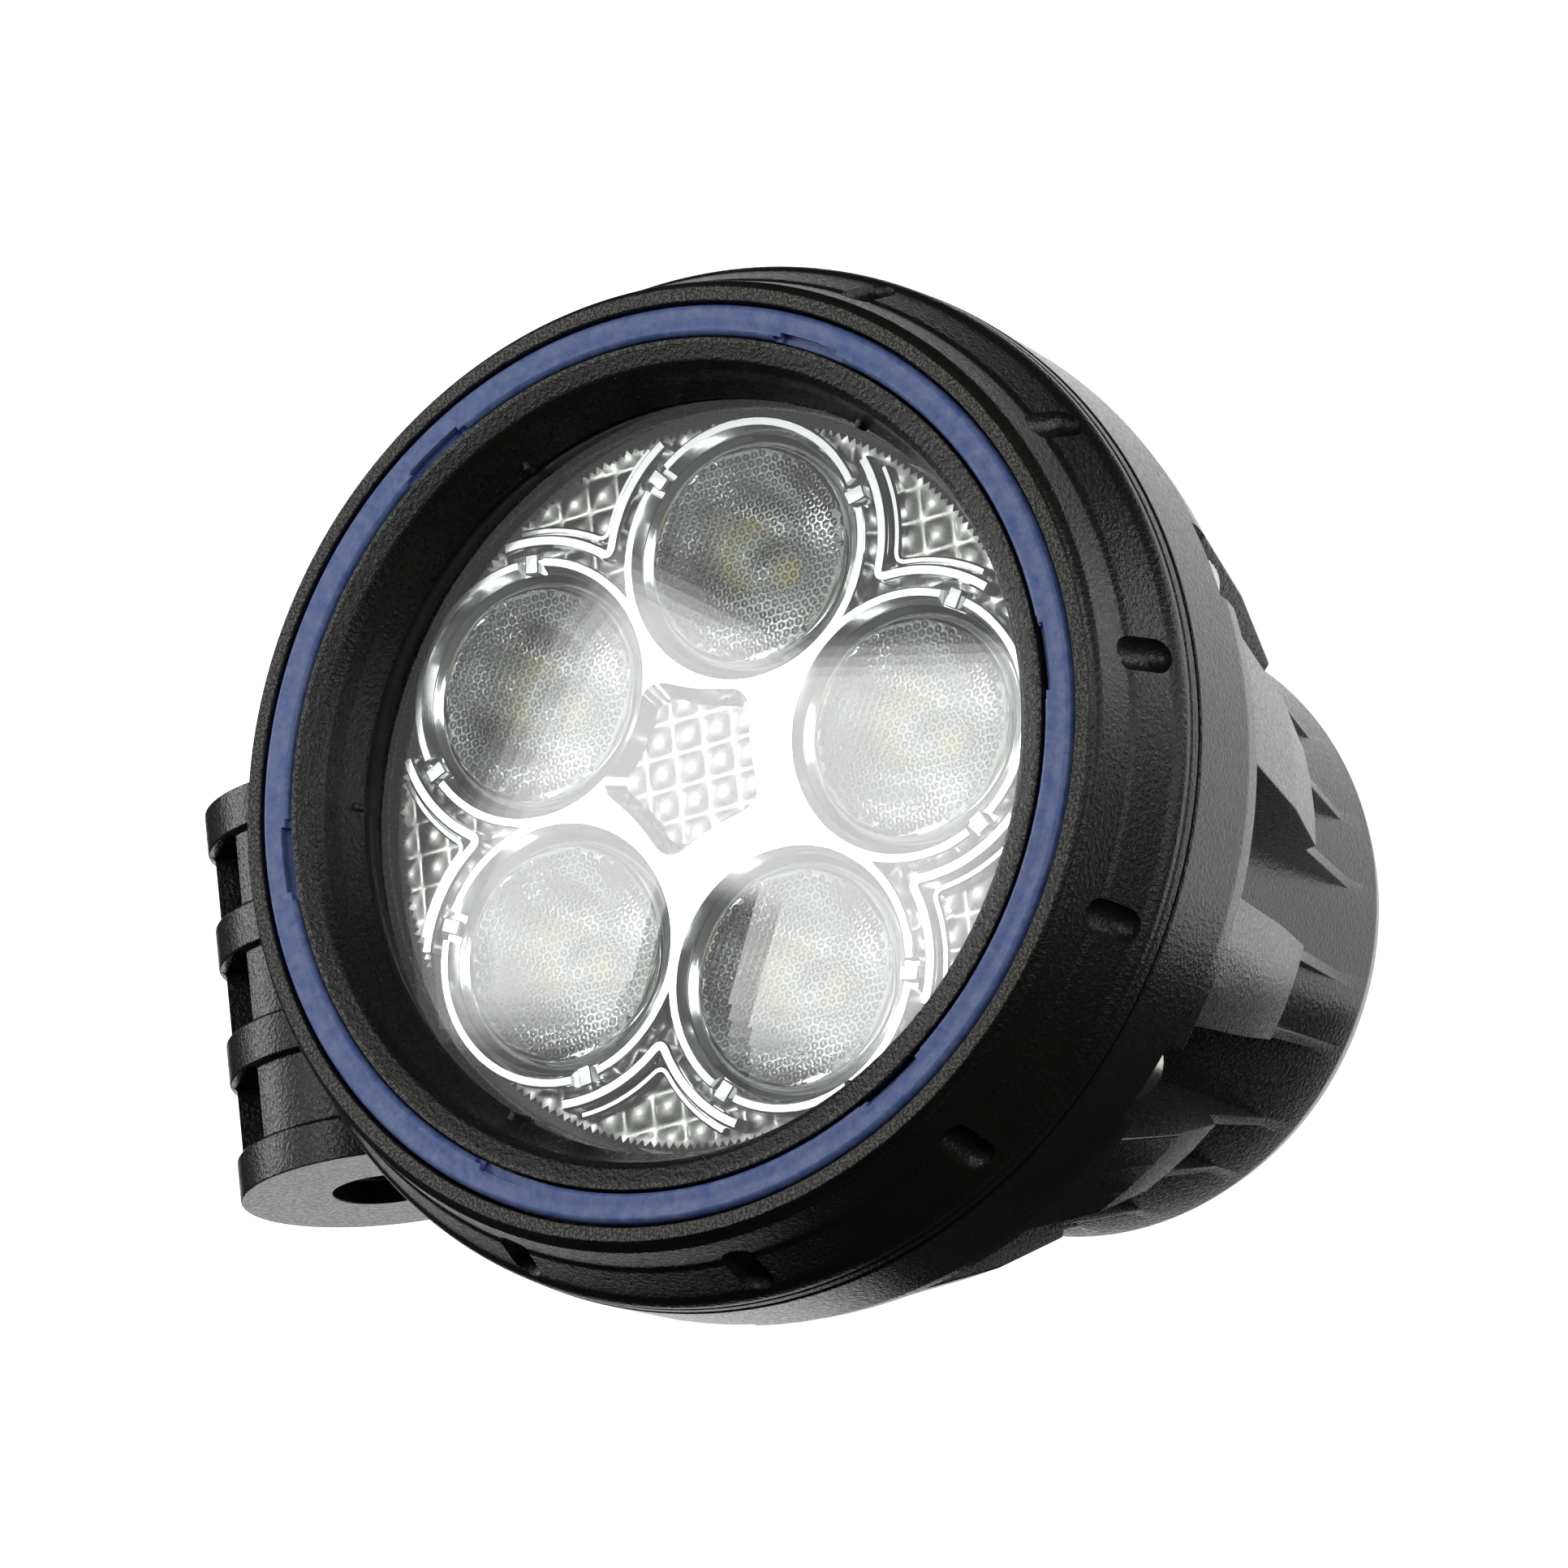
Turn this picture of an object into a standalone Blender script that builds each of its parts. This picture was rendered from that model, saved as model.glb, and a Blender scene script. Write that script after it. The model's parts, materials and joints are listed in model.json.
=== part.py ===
"""Underwater pond light: a finned lamp head with five collimated LEDs and a pivot barrel.

The lamp stands on its flat rear face and shines along +Z.  The origin is the centre of
that face.  The pivot barrel hangs on the -Y side, with its bore along X.
"""
import math

import bmesh
import bpy
from mathutils import Matrix, Vector

MM = 0.001
GAP = 0.3                     # clearance that neighbouring pieces keep, in mm

# ---- driving dimensions, in mm -------------------------------------------------------
LAMP_LENGTH = 94.5            # rear face to the top of the colour ring
SEGMENTS = 60                 # facets round the large turned pieces
SMALL_SEGMENTS = 30           # facets round the hidden seals and discs

RING_RADII = (42.1, 45.1)     # colour ring, inner and outer
RING_DEPTH = 2.4
RING_NOTCH_COUNT = 6
RING_NOTCH_PHASE = 30.0
RING_NOTCH_ANGLE = 9.0
RING_NOTCH_DEPTH = 0.95

BEZEL_REAR = 81.0             # height of the joint face under the bezel
BEZEL_GROOVE_COUNT = 12
BEZEL_GROOVE_FOOT = (49.3, 84.2)   # radius and height of a groove's lower end
BEZEL_GROOVE_SLOPE = 24.6
BEZEL_GROOVE_SIZE = (3.2, 7.2)     # width and length

GLASS_RADIUS = 41.1
GLASS_TOP = 87.65
GLASS_BOTTOM = 84.9

CAVITY_RADIUS = 36.8          # front chamber of the housing
CAVITY_FLOOR = 62.0
DRUM_RADIUS = 32.9            # rear drum, at its front end
DRUM_BORE = 29.3
FLANGE_RADIUS = 51.7
FLANGE_FRONT = BEZEL_REAR - GAP
SPIGOT_TOP = 83.2

TAB_COUNT = 12
TAB_HALF_ANGLE = 7.5
FIN_HALF_ANGLE = 5.6          # inner faces of the two fins under a tab

SCREW_COUNT = 6
SCREW_CIRCLE = 46.8
SCREW_PHASE = 45.0
SCREW_SEAT = 71.1
SCREW_HEAD = (3.5, 4.0)       # radius and height of the cap head
SCREW_SHANK = 2.0
SOCKET_RADIUS = 1.75
NOTCH_WIDTH = 8.3             # open notch in the flange round each cap head

LENS_COUNT = 5
LENS_PHASE = 90.0
BETWEEN_LENSES = 54.0         # angle of the first gap between two lenses
LENS_CIRCLE = 22.5
LENS_RADIUS = 10.85
LENS_TOP = 83.7
LENS_BOTTOM = 69.6
PETAL_RADIUS = 13.6
CARRIER_RADIUS = 36.2
CARRIER_TOP = 84.5

STAR_RADII = (11.6, 7.0)      # tips and inner corners of the star pocket
STAR_DEPTH = 1.6

BOARD_SCREW_CIRCLE = 30.0
BOARD_SCREW_HOLE = 1.9
BOARD_BOTTOM = 67.3
BOARD_THICKNESS = 1.6
SPREADER_TOP = 66.3

BARREL_CENTRE = (-63.5, 45.9)  # Y and Z of the pivot axis
BARREL_RADIUS = 15.1
BARREL_WAIST = 14.45           # radius between the bands
BARREL_LENGTH = 41.4
BARREL_BORE = 5.7
SLEEVE_BORE = 4.2
BARREL_SEGMENTS = 32
BAND_WIDTH = 4.3
BAND_CENTRES = (-18.55, -6.15, 6.15, 18.55)

DRIVER_HEIGHT = 25.0
DRIVER_POST_CIRCLE = 21.5
DRIVER_POST_PHASE = 93.0
DRIVER_POST_COUNT = 3
DRIVER_POST_RADIUS = 2.8
GLAND_HEIGHT = 15.0
GLAND_FACE = -37.0             # Y of the boss face that the gland seats on
GLAND_BOSS_RADIUS = 8.6
GLAND_TAIL_RADIUS = 5.0

FINISHES = {
    # slot: colour, roughness, metallic, transmission
    "housing": ((0.020, 0.020, 0.019), 0.48, 0.0, 0.0),
    "bezel": ((0.014, 0.014, 0.013), 0.42, 0.0, 0.0),
    "colour_ring": ((0.045, 0.105, 0.42), 0.38, 0.0, 0.0),
    "glass": ((0.95, 0.97, 0.97), 0.02, 0.0, 1.0),
    "lens": ((0.96, 0.97, 0.97), 0.06, 0.0, 1.0),
    "carrier": ((0.82, 0.83, 0.83), 0.12, 0.0, 0.6),
    "rubber": ((0.015, 0.015, 0.015), 0.75, 0.0, 0.0),
    "stainless": ((0.60, 0.59, 0.57), 0.28, 1.0, 0.0),
    "aluminium": ((0.72, 0.73, 0.74), 0.35, 1.0, 0.0),
    "board": ((0.85, 0.86, 0.85), 0.45, 0.0, 0.0),
    "driver": ((0.03, 0.16, 0.07), 0.45, 0.0, 0.0),
    "phosphor": ((0.90, 0.76, 0.16), 0.35, 0.0, 0.0),
    "thermal_pad": ((0.45, 0.46, 0.50), 0.80, 0.0, 0.0),
    "capacitor": ((0.03, 0.04, 0.09), 0.35, 0.0, 0.0),
    "copper": ((0.75, 0.36, 0.18), 0.30, 1.0, 0.0),
    "gland": ((0.030, 0.030, 0.032), 0.50, 0.0, 0.0),
    "sleeve": ((0.10, 0.10, 0.10), 0.55, 0.0, 0.0),
}


# ---- scene helpers ----------------------------------------------------------------------
def clear_scene():
    for item in list(bpy.data.objects):
        bpy.data.objects.remove(item, do_unlink=True)


def make_collection(name):
    collection = bpy.data.collections.new(name)
    bpy.context.scene.collection.children.link(collection)
    return collection


def make_material(name):
    colour, roughness, metallic, transmission = FINISHES[name]
    material = bpy.data.materials.new(name)
    material.use_nodes = True
    shader = material.node_tree.nodes["Principled BSDF"]
    shader.inputs["Base Color"].default_value = (*colour, 1.0)
    shader.inputs["Roughness"].default_value = roughness
    shader.inputs["Metallic"].default_value = metallic
    shader.inputs["Transmission Weight"].default_value = transmission
    return material


clear_scene()
PARTS = make_collection("underwater_pond_light")
CUTTERS = make_collection("cutters")


def add_object(name, mesh, slot):
    """Link a mesh as a part with its own material."""
    part = bpy.data.objects.new(name, mesh)
    PARTS.objects.link(part)
    if not mesh.materials:
        mesh.materials.append(make_material(slot))
    mesh.shade_smooth()
    mesh.set_sharp_from_angle(angle=math.radians(35))
    return part


def add_cutter(name, mesh):
    """Link a mesh as a hidden tool for a Boolean modifier."""
    cutter = bpy.data.objects.new(name, mesh)
    CUTTERS.objects.link(cutter)
    cutter.hide_render = True
    cutter.display_type = "WIRE"
    return cutter


def combine(part, tool, operation="DIFFERENCE"):
    modifier = part.modifiers.new(operation.lower() + "_" + tool.name, "BOOLEAN")
    modifier.operation = operation
    modifier.solver = "EXACT"
    modifier.object = tool


def mesh_from(bm, name):
    bmesh.ops.recalc_face_normals(bm, faces=bm.faces)
    mesh = bpy.data.meshes.new(name)
    bm.to_mesh(mesh)
    bm.free()
    return mesh


# ---- shape helpers, all taking millimetres ---------------------------------------------------
def arc(centre, radius, start, end, steps):
    """Points of an arc in the profile plane, angles in degrees."""
    points = []
    for index in range(steps + 1):
        angle = math.radians(start + (end - start) * index / steps)
        points.append((centre[0] + radius * math.cos(angle), centre[1] + radius * math.sin(angle)))
    return points


def turned(name, profile, slot, segments=SEGMENTS, closed=True):
    """Turn a profile of (radius, height) points, outer side downwards, about Z."""
    mesh = bpy.data.meshes.new(name)
    points = [(radius * MM, 0.0, height * MM) for radius, height in profile]
    edges = [(index, index + 1) for index in range(len(points) - 1)]
    if closed:
        edges.append((len(points) - 1, 0))
    mesh.from_pydata(points, edges, [])
    part = add_object(name, mesh, slot)
    screw = part.modifiers.new("turn", "SCREW")
    screw.axis = "Z"
    screw.steps = screw.render_steps = segments
    screw.use_merge_vertices = True
    screw.merge_threshold = 0.00001
    return part


def add_cylinder(bm, radius, start, end, segments=16):
    """A closed cylinder between two points."""
    first, last = Vector(start) * MM, Vector(end) * MM
    direction = last - first
    turn = direction.to_track_quat("Z", "Y").to_matrix().to_4x4()
    matrix = Matrix.Translation((first + last) / 2) @ turn
    bmesh.ops.create_cone(
        bm, cap_ends=True, segments=segments, radius1=radius * MM, radius2=radius * MM,
        depth=direction.length, matrix=matrix)


def add_box(bm, low, high, turn=Matrix.Identity(4)):
    """A box between two corners, turned afterwards."""
    size = [(high[axis] - low[axis]) * MM for axis in range(3)]
    middle = [(high[axis] + low[axis]) * MM / 2 for axis in range(3)]
    matrix = turn @ Matrix.Translation(middle) @ Matrix.Diagonal((*size, 1.0))
    bmesh.ops.create_cube(bm, size=1.0, matrix=matrix)


def add_sector(bm, profile, middle, half_angle, steps=2):
    """Sweep a closed (radius, height) outline through an angle about Z."""
    start = middle - math.radians(half_angle)
    turn = Matrix.Rotation(start, 4, "Z")
    corners = [bm.verts.new(turn @ Vector((r * MM, 0.0, z * MM))) for r, z in profile]
    face = bm.faces.new(corners)
    bmesh.ops.spin(
        bm, geom=[face, *face.edges, *corners], cent=(0, 0, 0), axis=(0, 0, 1),
        angle=math.radians(2 * half_angle), steps=steps, use_duplicate=False)


def add_outline(bm, outline, bottom, top):
    """Extrude a closed outline of (x, y) points between two heights."""
    corners = [bm.verts.new((x * MM, y * MM, bottom * MM)) for x, y in outline]
    face = bm.faces.new(corners)
    result = bmesh.ops.extrude_face_region(bm, geom=[face])
    lifted = [item for item in result["geom"] if isinstance(item, bmesh.types.BMVert)]
    bmesh.ops.translate(bm, verts=lifted, vec=(0, 0, (top - bottom) * MM))


def on_circle(radius, angle, height=0.0):
    return (radius * math.cos(angle), radius * math.sin(angle), height)


def spaced(count, phase):
    return [math.radians(phase + 360.0 * index / count) for index in range(count)]


def drill(part, name, circle, angles, radius, bottom, top, segments=10):
    """A circle of round holes along Z."""
    bm = bmesh.new()
    for angle in angles:
        add_cylinder(bm, radius, on_circle(circle, angle, bottom), on_circle(circle, angle, top), segments)
    combine(part, add_cutter(name, mesh_from(bm, name)))


def shape_with_rod(part, name, radius, start, end, segments, operation="UNION"):
    """Add one cylinder to a part, or cut it out."""
    bm = bmesh.new()
    add_cylinder(bm, radius, start, end, segments)
    combine(part, add_cutter(name, mesh_from(bm, name)), operation)


# ---- front end ----------------------------------------------------------------------------------
def build_front_bezel():
    """Clamping ring: grained lips, groove for the colour ring, funnel and notched side wall."""
    groove_floor = LAMP_LENGTH - RING_DEPTH - GAP
    profile = [
        (41.3, 94.3), (41.8, 94.3), (41.8, groove_floor), (45.4, groove_floor), (45.5, 94.4),
        (46.9, 94.4), (47.4, 93.4), (48.7, 89.0), (50.9, 84.2), (51.5, 83.8), (51.6, BEZEL_REAR),
        (GLASS_RADIUS + 0.4, BEZEL_REAR), (GLASS_RADIUS + 0.4, GLASS_TOP + GAP),
        (37.2, GLASS_TOP + GAP), (38.4, 90.7), (39.2, 93.8),
    ]
    bezel = turned("front_bezel", profile, "bezel")
    grooves = bmesh.new()
    for angle in spaced(BEZEL_GROOVE_COUNT, 0.0):
        add_bezel_groove(grooves, angle)
    combine(bezel, add_cutter("bezel_grooves", mesh_from(grooves, "bezel_grooves")))
    drill(bezel, "bezel_holes", SCREW_CIRCLE, spaced(SCREW_COUNT, SCREW_PHASE), SCREW_SHANK + GAP,
          BEZEL_REAR - 1.0, BEZEL_REAR + 6.0)


def add_bezel_groove(bm, angle):
    """One capsule-shaped groove that follows the slope of the side wall."""
    width, length = BEZEL_GROOVE_SIZE
    half_width, depth = width / 2, 4.0
    start = len(bm.verts)
    outline = arc((0.0, length - half_width), half_width, 0, 180, 5)
    outline += [(-half_width, -1.5), (half_width, -1.5)]
    add_outline(bm, outline, 0.0, depth)
    bm.verts.ensure_lookup_table()
    foot_radius, foot_height = BEZEL_GROOVE_FOOT
    frame = Matrix.Rotation(angle, 4, "Z") @ Matrix.Translation((foot_radius * MM, 0.0, foot_height * MM))
    upright = Matrix(((0, 0, 1, 0), (1, 0, 0, 0), (0, 1, 0, 0), (0, 0, 0, 1)))
    lean = Matrix.Rotation(-math.radians(BEZEL_GROOVE_SLOPE), 4, "Y")
    bmesh.ops.transform(bm, matrix=frame @ lean @ upright, verts=bm.verts[start:])


def build_colour_ring():
    inner, outer = RING_RADII
    profile = [
        (inner, 94.4), (inner + 0.3, 94.6), (outer - 0.4, LAMP_LENGTH), (outer, 94.1),
        (outer, LAMP_LENGTH - RING_DEPTH), (inner, LAMP_LENGTH - RING_DEPTH),
    ]
    ring = turned("colour_ring", profile, "colour_ring")
    notches = bmesh.new()
    near, far = inner - 1.0, inner + RING_NOTCH_DEPTH
    low, high = LAMP_LENGTH - RING_DEPTH - 1.0, LAMP_LENGTH + 1.0
    outline = [(near, low), (near, high), (far, high), (far, low)]
    for angle in spaced(RING_NOTCH_COUNT, RING_NOTCH_PHASE):
        add_sector(notches, outline, angle, RING_NOTCH_ANGLE / 2)
    combine(ring, add_cutter("ring_notches", mesh_from(notches, "ring_notches")))


def build_window():
    edge = 0.4
    turned("window_glass", [
        (0.0, GLASS_TOP), (GLASS_RADIUS - edge, GLASS_TOP), (GLASS_RADIUS, GLASS_TOP - edge),
        (GLASS_RADIUS, GLASS_BOTTOM + edge), (GLASS_RADIUS - edge, GLASS_BOTTOM), (0.0, GLASS_BOTTOM),
    ], "glass", closed=False)
    low, high = SPIGOT_TOP + GAP, GLASS_BOTTOM - GAP
    turned("window_seal", [(37.9, high), (41.0, high), (41.0, low), (37.9, low)], "rubber", SMALL_SEGMENTS)
    low, high = FLANGE_FRONT - 1.1, FLANGE_FRONT
    turned("housing_seal", [(43.3, high), (44.7, high), (44.7, low), (43.3, low)], "rubber", SMALL_SEGMENTS)


def star_outline(points, outer, inner, phase):
    """A star with softened tips and softened inner corners."""
    outline = []
    for index in range(points):
        middle = math.radians(phase + 360.0 * index / points)
        step = math.pi / points
        for offset, radius in ((-0.16, outer), (0.16, outer), (0.80, inner), (1.20, inner)):
            outline.append(on_circle(radius, middle + offset * step)[:2])
    return outline


def flower_outline():
    """Outline of the petals: one arc round each lens, from notch to notch."""
    half_turn = math.pi / LENS_COUNT
    along, across = LENS_CIRCLE * math.cos(half_turn), LENS_CIRCLE * math.sin(half_turn)
    notch = along + math.sqrt(PETAL_RADIUS ** 2 - across ** 2)
    notch_x, notch_y = notch * math.cos(half_turn) - LENS_CIRCLE, notch * math.sin(half_turn)
    reach = math.degrees(math.atan2(notch_y, notch_x))
    outline = []
    for angle in spaced(LENS_COUNT, LENS_PHASE):
        centre = on_circle(LENS_CIRCLE, angle)[:2]
        turn = math.degrees(angle)
        outline += arc(centre, PETAL_RADIUS, turn - reach, turn + reach, 14)[:-1]
    return outline


def build_lens_carrier():
    """Moulded flower plate: a raised petal round each lens and a star pocket in the middle."""
    base_top, base_bottom = CARRIER_TOP - 2.0, CARRIER_TOP - 5.0
    carrier = turned("lens_carrier", [
        (0.0, base_top), (CARRIER_RADIUS, base_top), (CARRIER_RADIUS, base_bottom), (0.0, base_bottom),
    ], "carrier", closed=False)
    carrier.rotation_euler.z = math.radians(180.0 / SEGMENTS)
    flower = bmesh.new()
    add_outline(flower, flower_outline(), base_top - 1.0, CARRIER_TOP)
    combine(carrier, add_cutter("carrier_flower", mesh_from(flower, "carrier_flower")), "UNION")
    drill(carrier, "carrier_holes", LENS_CIRCLE, spaced(LENS_COUNT, LENS_PHASE), LENS_RADIUS + 0.35,
          base_bottom - 1.0, CARRIER_TOP + 1.0, 30)
    star = bmesh.new()
    tip, corner = STAR_RADII
    outline = star_outline(LENS_COUNT, tip, corner, BETWEEN_LENSES)
    add_outline(star, outline, CARRIER_TOP - STAR_DEPTH, CARRIER_TOP + 1.0)
    combine(carrier, add_cutter("carrier_star", mesh_from(star, "carrier_star")))


def build_lenses():
    """Five collimators, hollow underneath over their emitters."""
    profile = [
        (0.0, LENS_TOP), (LENS_RADIUS, LENS_TOP), (LENS_RADIUS, LENS_TOP - 1.4), (7.6, 75.4),
        (4.7, LENS_BOTTOM), (3.4, LENS_BOTTOM), (3.1, 75.0), (0.0, 76.0),
    ]
    for index, angle in enumerate(spaced(LENS_COUNT, LENS_PHASE)):
        lens = turned(f"collimator_lens_{index + 1}", profile, "lens", 20, closed=False)
        lens.location = Vector(on_circle(LENS_CIRCLE, angle)) * MM


def build_emitters():
    bm = bmesh.new()
    half, height = 1.72, 0.7
    add_box(bm, (-half, -half, 0.0), (half, half, height))
    base_mesh = mesh_from(bm, "led_emitter")
    dome = bmesh.new()
    flatten = Matrix.Translation((0, 0, height * MM)) @ Matrix.Diagonal((1.0, 1.0, 0.5, 1.0))
    bmesh.ops.create_uvsphere(dome, u_segments=10, v_segments=6, radius=1.3 * MM, matrix=flatten)
    dome_mesh = mesh_from(dome, "led_dome")
    for index, angle in enumerate(spaced(LENS_COUNT, LENS_PHASE)):
        place = Vector(on_circle(LENS_CIRCLE, angle, BOARD_BOTTOM + BOARD_THICKNESS + GAP)) * MM
        emitter = add_object(f"led_emitter_{index + 1}", base_mesh, "phosphor")
        tool = add_cutter(f"led_dome_{index + 1}", dome_mesh)
        emitter.location = tool.location = place
        combine(emitter, tool, "UNION")


def build_light_engine():
    """LED board, thermal pad and heat spreader, held down by five board screws."""
    angles = spaced(LENS_COUNT, BETWEEN_LENSES)
    board_top = BOARD_BOTTOM + BOARD_THICKNESS
    board = turned("led_board", [
        (0.0, board_top), (35.5, board_top), (35.5, BOARD_BOTTOM), (0.0, BOARD_BOTTOM),
    ], "board", SMALL_SEGMENTS, closed=False)
    drill(board, "board_drill", BOARD_SCREW_CIRCLE, angles, BOARD_SCREW_HOLE, BOARD_BOTTOM - 1.0,
          board_top + 1.0)
    pad = turned("thermal_pad", [
        (0.0, 67.0), (34.5, 67.0), (34.5, 66.6), (0.0, 66.6),
    ], "thermal_pad", SMALL_SEGMENTS, closed=False)
    drill(pad, "pad_drill", BOARD_SCREW_CIRCLE, angles, BOARD_SCREW_HOLE, 66.0, 68.0)
    spreader_floor = CAVITY_FLOOR + GAP
    spreader = turned("heat_spreader", [
        (0.0, SPREADER_TOP), (36.4, SPREADER_TOP), (36.4, spreader_floor), (28.9, spreader_floor),
        (28.9, 50.0), (0.0, 50.0),
    ], "aluminium", SMALL_SEGMENTS, closed=False)
    drill(spreader, "spreader_drill", BOARD_SCREW_CIRCLE, angles, BOARD_SCREW_HOLE, 60.0, 67.0)
    profile = [
        (0.0, 2.0), (2.1, 2.0), (2.7, 1.3), (2.7, 0.0), (1.5, 0.0), (1.5, -5.9), (0.0, -5.9),
    ]
    for index, angle in enumerate(angles):
        screw = turned(f"board_screw_{index + 1}", profile, "stainless", 10, closed=False)
        screw.location = Vector(on_circle(BOARD_SCREW_CIRCLE, angle, board_top + GAP)) * MM


# ---- rear housing ---------------------------------------------------------------------------------
def housing_core():
    """Turned body: spigot, seal groove, flange, drum with a rounded rim, and both chambers."""
    rim = 4.4
    profile = [
        (0.0, 3.5), (26.6, 3.5), (DRUM_BORE, 6.2), (DRUM_BORE, CAVITY_FLOOR),
        (CAVITY_RADIUS, CAVITY_FLOOR), (CAVITY_RADIUS, SPIGOT_TOP), (41.1, SPIGOT_TOP),
        (41.1, FLANGE_FRONT), (43.0, FLANGE_FRONT), (43.0, FLANGE_FRONT - 1.4),
        (45.0, FLANGE_FRONT - 1.4), (45.0, FLANGE_FRONT), (FLANGE_RADIUS, FLANGE_FRONT),
        (51.2, 69.9), (50.4, 66.6), (46.0, 65.6), (34.0, 58.0), (DRUM_RADIUS, 56.5),
    ]
    profile += arc((32.0 - rim, rim), rim, 0, -90, 4)
    profile.append((0.0, 0.0))
    return turned("rear_housing", profile, "housing", closed=False)


def add_tabs_and_fins(housing):
    """Twelve wedge-shaped tabs behind the flange; their side walls run on as fins to the rim."""
    crest = [
        (31.0, 60.0), (38.2, 60.0), (38.2, 66.0), (50.35, 66.9), (44.3, 46.4), (38.4, 30.6),
        (36.7, 29.4), (31.2, 7.2), (30.4, 7.2),
    ]
    blocks = bmesh.new()
    for angle in spaced(TAB_COUNT, 0.0):
        add_sector(blocks, crest, angle, TAB_HALF_ANGLE)
    combine(housing, add_cutter("tab_blocks", mesh_from(blocks, "tab_blocks")), "UNION")
    pocket = [
        (DRUM_RADIUS + 0.1, 56.0), (36.0, 59.2), (43.5, 61.5), (42.0, 46.0), (36.6, 31.0),
        (40.0, 20.0), (40.0, 5.5), (31.9, 5.5),
    ]
    pockets = bmesh.new()
    for angle in spaced(TAB_COUNT, 0.0):
        add_sector(pockets, pocket, angle, FIN_HALF_ANGLE)
    combine(housing, add_cutter("tab_pockets", mesh_from(pockets, "tab_pockets")))


def add_pivot_barrel(housing):
    """Barrel with four bands, joined to the drum by a rib behind each band."""
    centre_y, centre_z = BARREL_CENTRE
    end = BARREL_LENGTH / 2 - 1.0
    shape_with_rod(
        housing, "barrel_waist", BARREL_WAIST, (-end, centre_y, centre_z), (end, centre_y, centre_z),
        BARREL_SEGMENTS)
    for index, middle in enumerate(BAND_CENTRES):
        low, high = middle - BAND_WIDTH / 2, middle + BAND_WIDTH / 2
        shape_with_rod(
            housing, f"barrel_band_{index + 1}", BARREL_RADIUS, (low, centre_y, centre_z),
            (high, centre_y, centre_z), BARREL_SEGMENTS)
        root = 25.6 if abs(middle) > 10.0 else 30.6
        rib = bmesh.new()
        outline = [
            (root, 24.0), (44.0, 28.5), (62.0, 30.95), (60.9, 60.70), (44.0, 48.4), (root, 36.5),
        ]
        add_outline(rib, outline, low + 0.05, high - 0.05)
        turn = Matrix(((0, 0, 1, 0), (-1, 0, 0, 0), (0, 1, 0, 0), (0, 0, 0, 1)))
        bmesh.ops.transform(rib, matrix=turn, verts=rib.verts)
        combine(housing, add_cutter(f"barrel_rib_{index + 1}", mesh_from(rib, "barrel_rib")), "UNION")


def cut_barrel(housing):
    """Three pockets in the outer front quarter, between the bands, and the pivot bore."""
    centre_y, centre_z = BARREL_CENTRE
    rim, lean = math.radians(28.0), math.radians(43.0)
    corner_y = centre_y - BARREL_WAIST * math.cos(rim)
    corner_z = centre_z + BARREL_WAIST * math.sin(rim)
    pockets = bmesh.new()
    turn = Matrix.Translation((0.0, corner_y * MM, corner_z * MM)) @ Matrix.Rotation(-lean, 4, "X")
    for first, second in zip(BAND_CENTRES, BAND_CENTRES[1:]):
        low, high = first + BAND_WIDTH / 2, second - BAND_WIDTH / 2
        add_box(pockets, (low, -2.0, 0.0), (high, 5.0, 9.0), turn)
    combine(housing, add_cutter("barrel_pockets", mesh_from(pockets, "barrel_pockets")))
    end = BARREL_LENGTH / 2 + 1.0
    shape_with_rod(
        housing, "barrel_bore", BARREL_BORE, (-end, centre_y, centre_z), (end, centre_y, centre_z), 24,
        "DIFFERENCE")


def at_gland(y):
    return (0.0, y, GLAND_HEIGHT)


def add_gland_boss(housing):
    """Boss for the cable gland on the drum, below the barrel."""
    shape_with_rod(housing, "gland_boss", GLAND_BOSS_RADIUS, at_gland(-30.6), at_gland(GLAND_FACE), 24)
    shape_with_rod(
        housing, "gland_bore", GLAND_TAIL_RADIUS + GAP, at_gland(-26.0), at_gland(GLAND_FACE - 1.0), 20,
        "DIFFERENCE")


def add_driver_posts(housing):
    """Three drilled posts on the floor of the drum."""
    angles = spaced(DRIVER_POST_COUNT, DRIVER_POST_PHASE)
    posts = bmesh.new()
    for angle in angles:
        start = on_circle(DRIVER_POST_CIRCLE, angle, 2.0)
        end = on_circle(DRIVER_POST_CIRCLE, angle, DRIVER_HEIGHT - GAP)
        add_cylinder(posts, DRIVER_POST_RADIUS, start, end, 12)
    combine(housing, add_cutter("driver_posts", mesh_from(posts, "driver_posts")), "UNION")
    drill(housing, "post_drill", DRIVER_POST_CIRCLE, angles, 1.6, DRIVER_HEIGHT - 8.0, DRIVER_HEIGHT + 1.0)


def cut_screw_notches(housing):
    """Open notches in the flange, where the cap screws sit, and their through holes."""
    notches = bmesh.new()
    half_width, reach = NOTCH_WIDTH / 2, FLANGE_RADIUS + 4.0
    for angle in spaced(SCREW_COUNT, SCREW_PHASE):
        start = len(notches.verts)
        outline = arc((SCREW_CIRCLE, 0.0), half_width, 90, 270, 8)
        outline += [(reach, -half_width), (reach, half_width)]
        add_outline(notches, outline, 60.0, SCREW_SEAT)
        notches.verts.ensure_lookup_table()
        turn = Matrix.Rotation(angle, 4, "Z")
        bmesh.ops.transform(notches, matrix=turn, verts=notches.verts[start:])
    combine(housing, add_cutter("screw_notches", mesh_from(notches, "screw_notches")))
    drill(housing, "screw_holes", SCREW_CIRCLE, spaced(SCREW_COUNT, SCREW_PHASE), SCREW_SHANK + GAP,
          SCREW_SEAT - 2.0, FLANGE_FRONT + 1.0)


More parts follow.
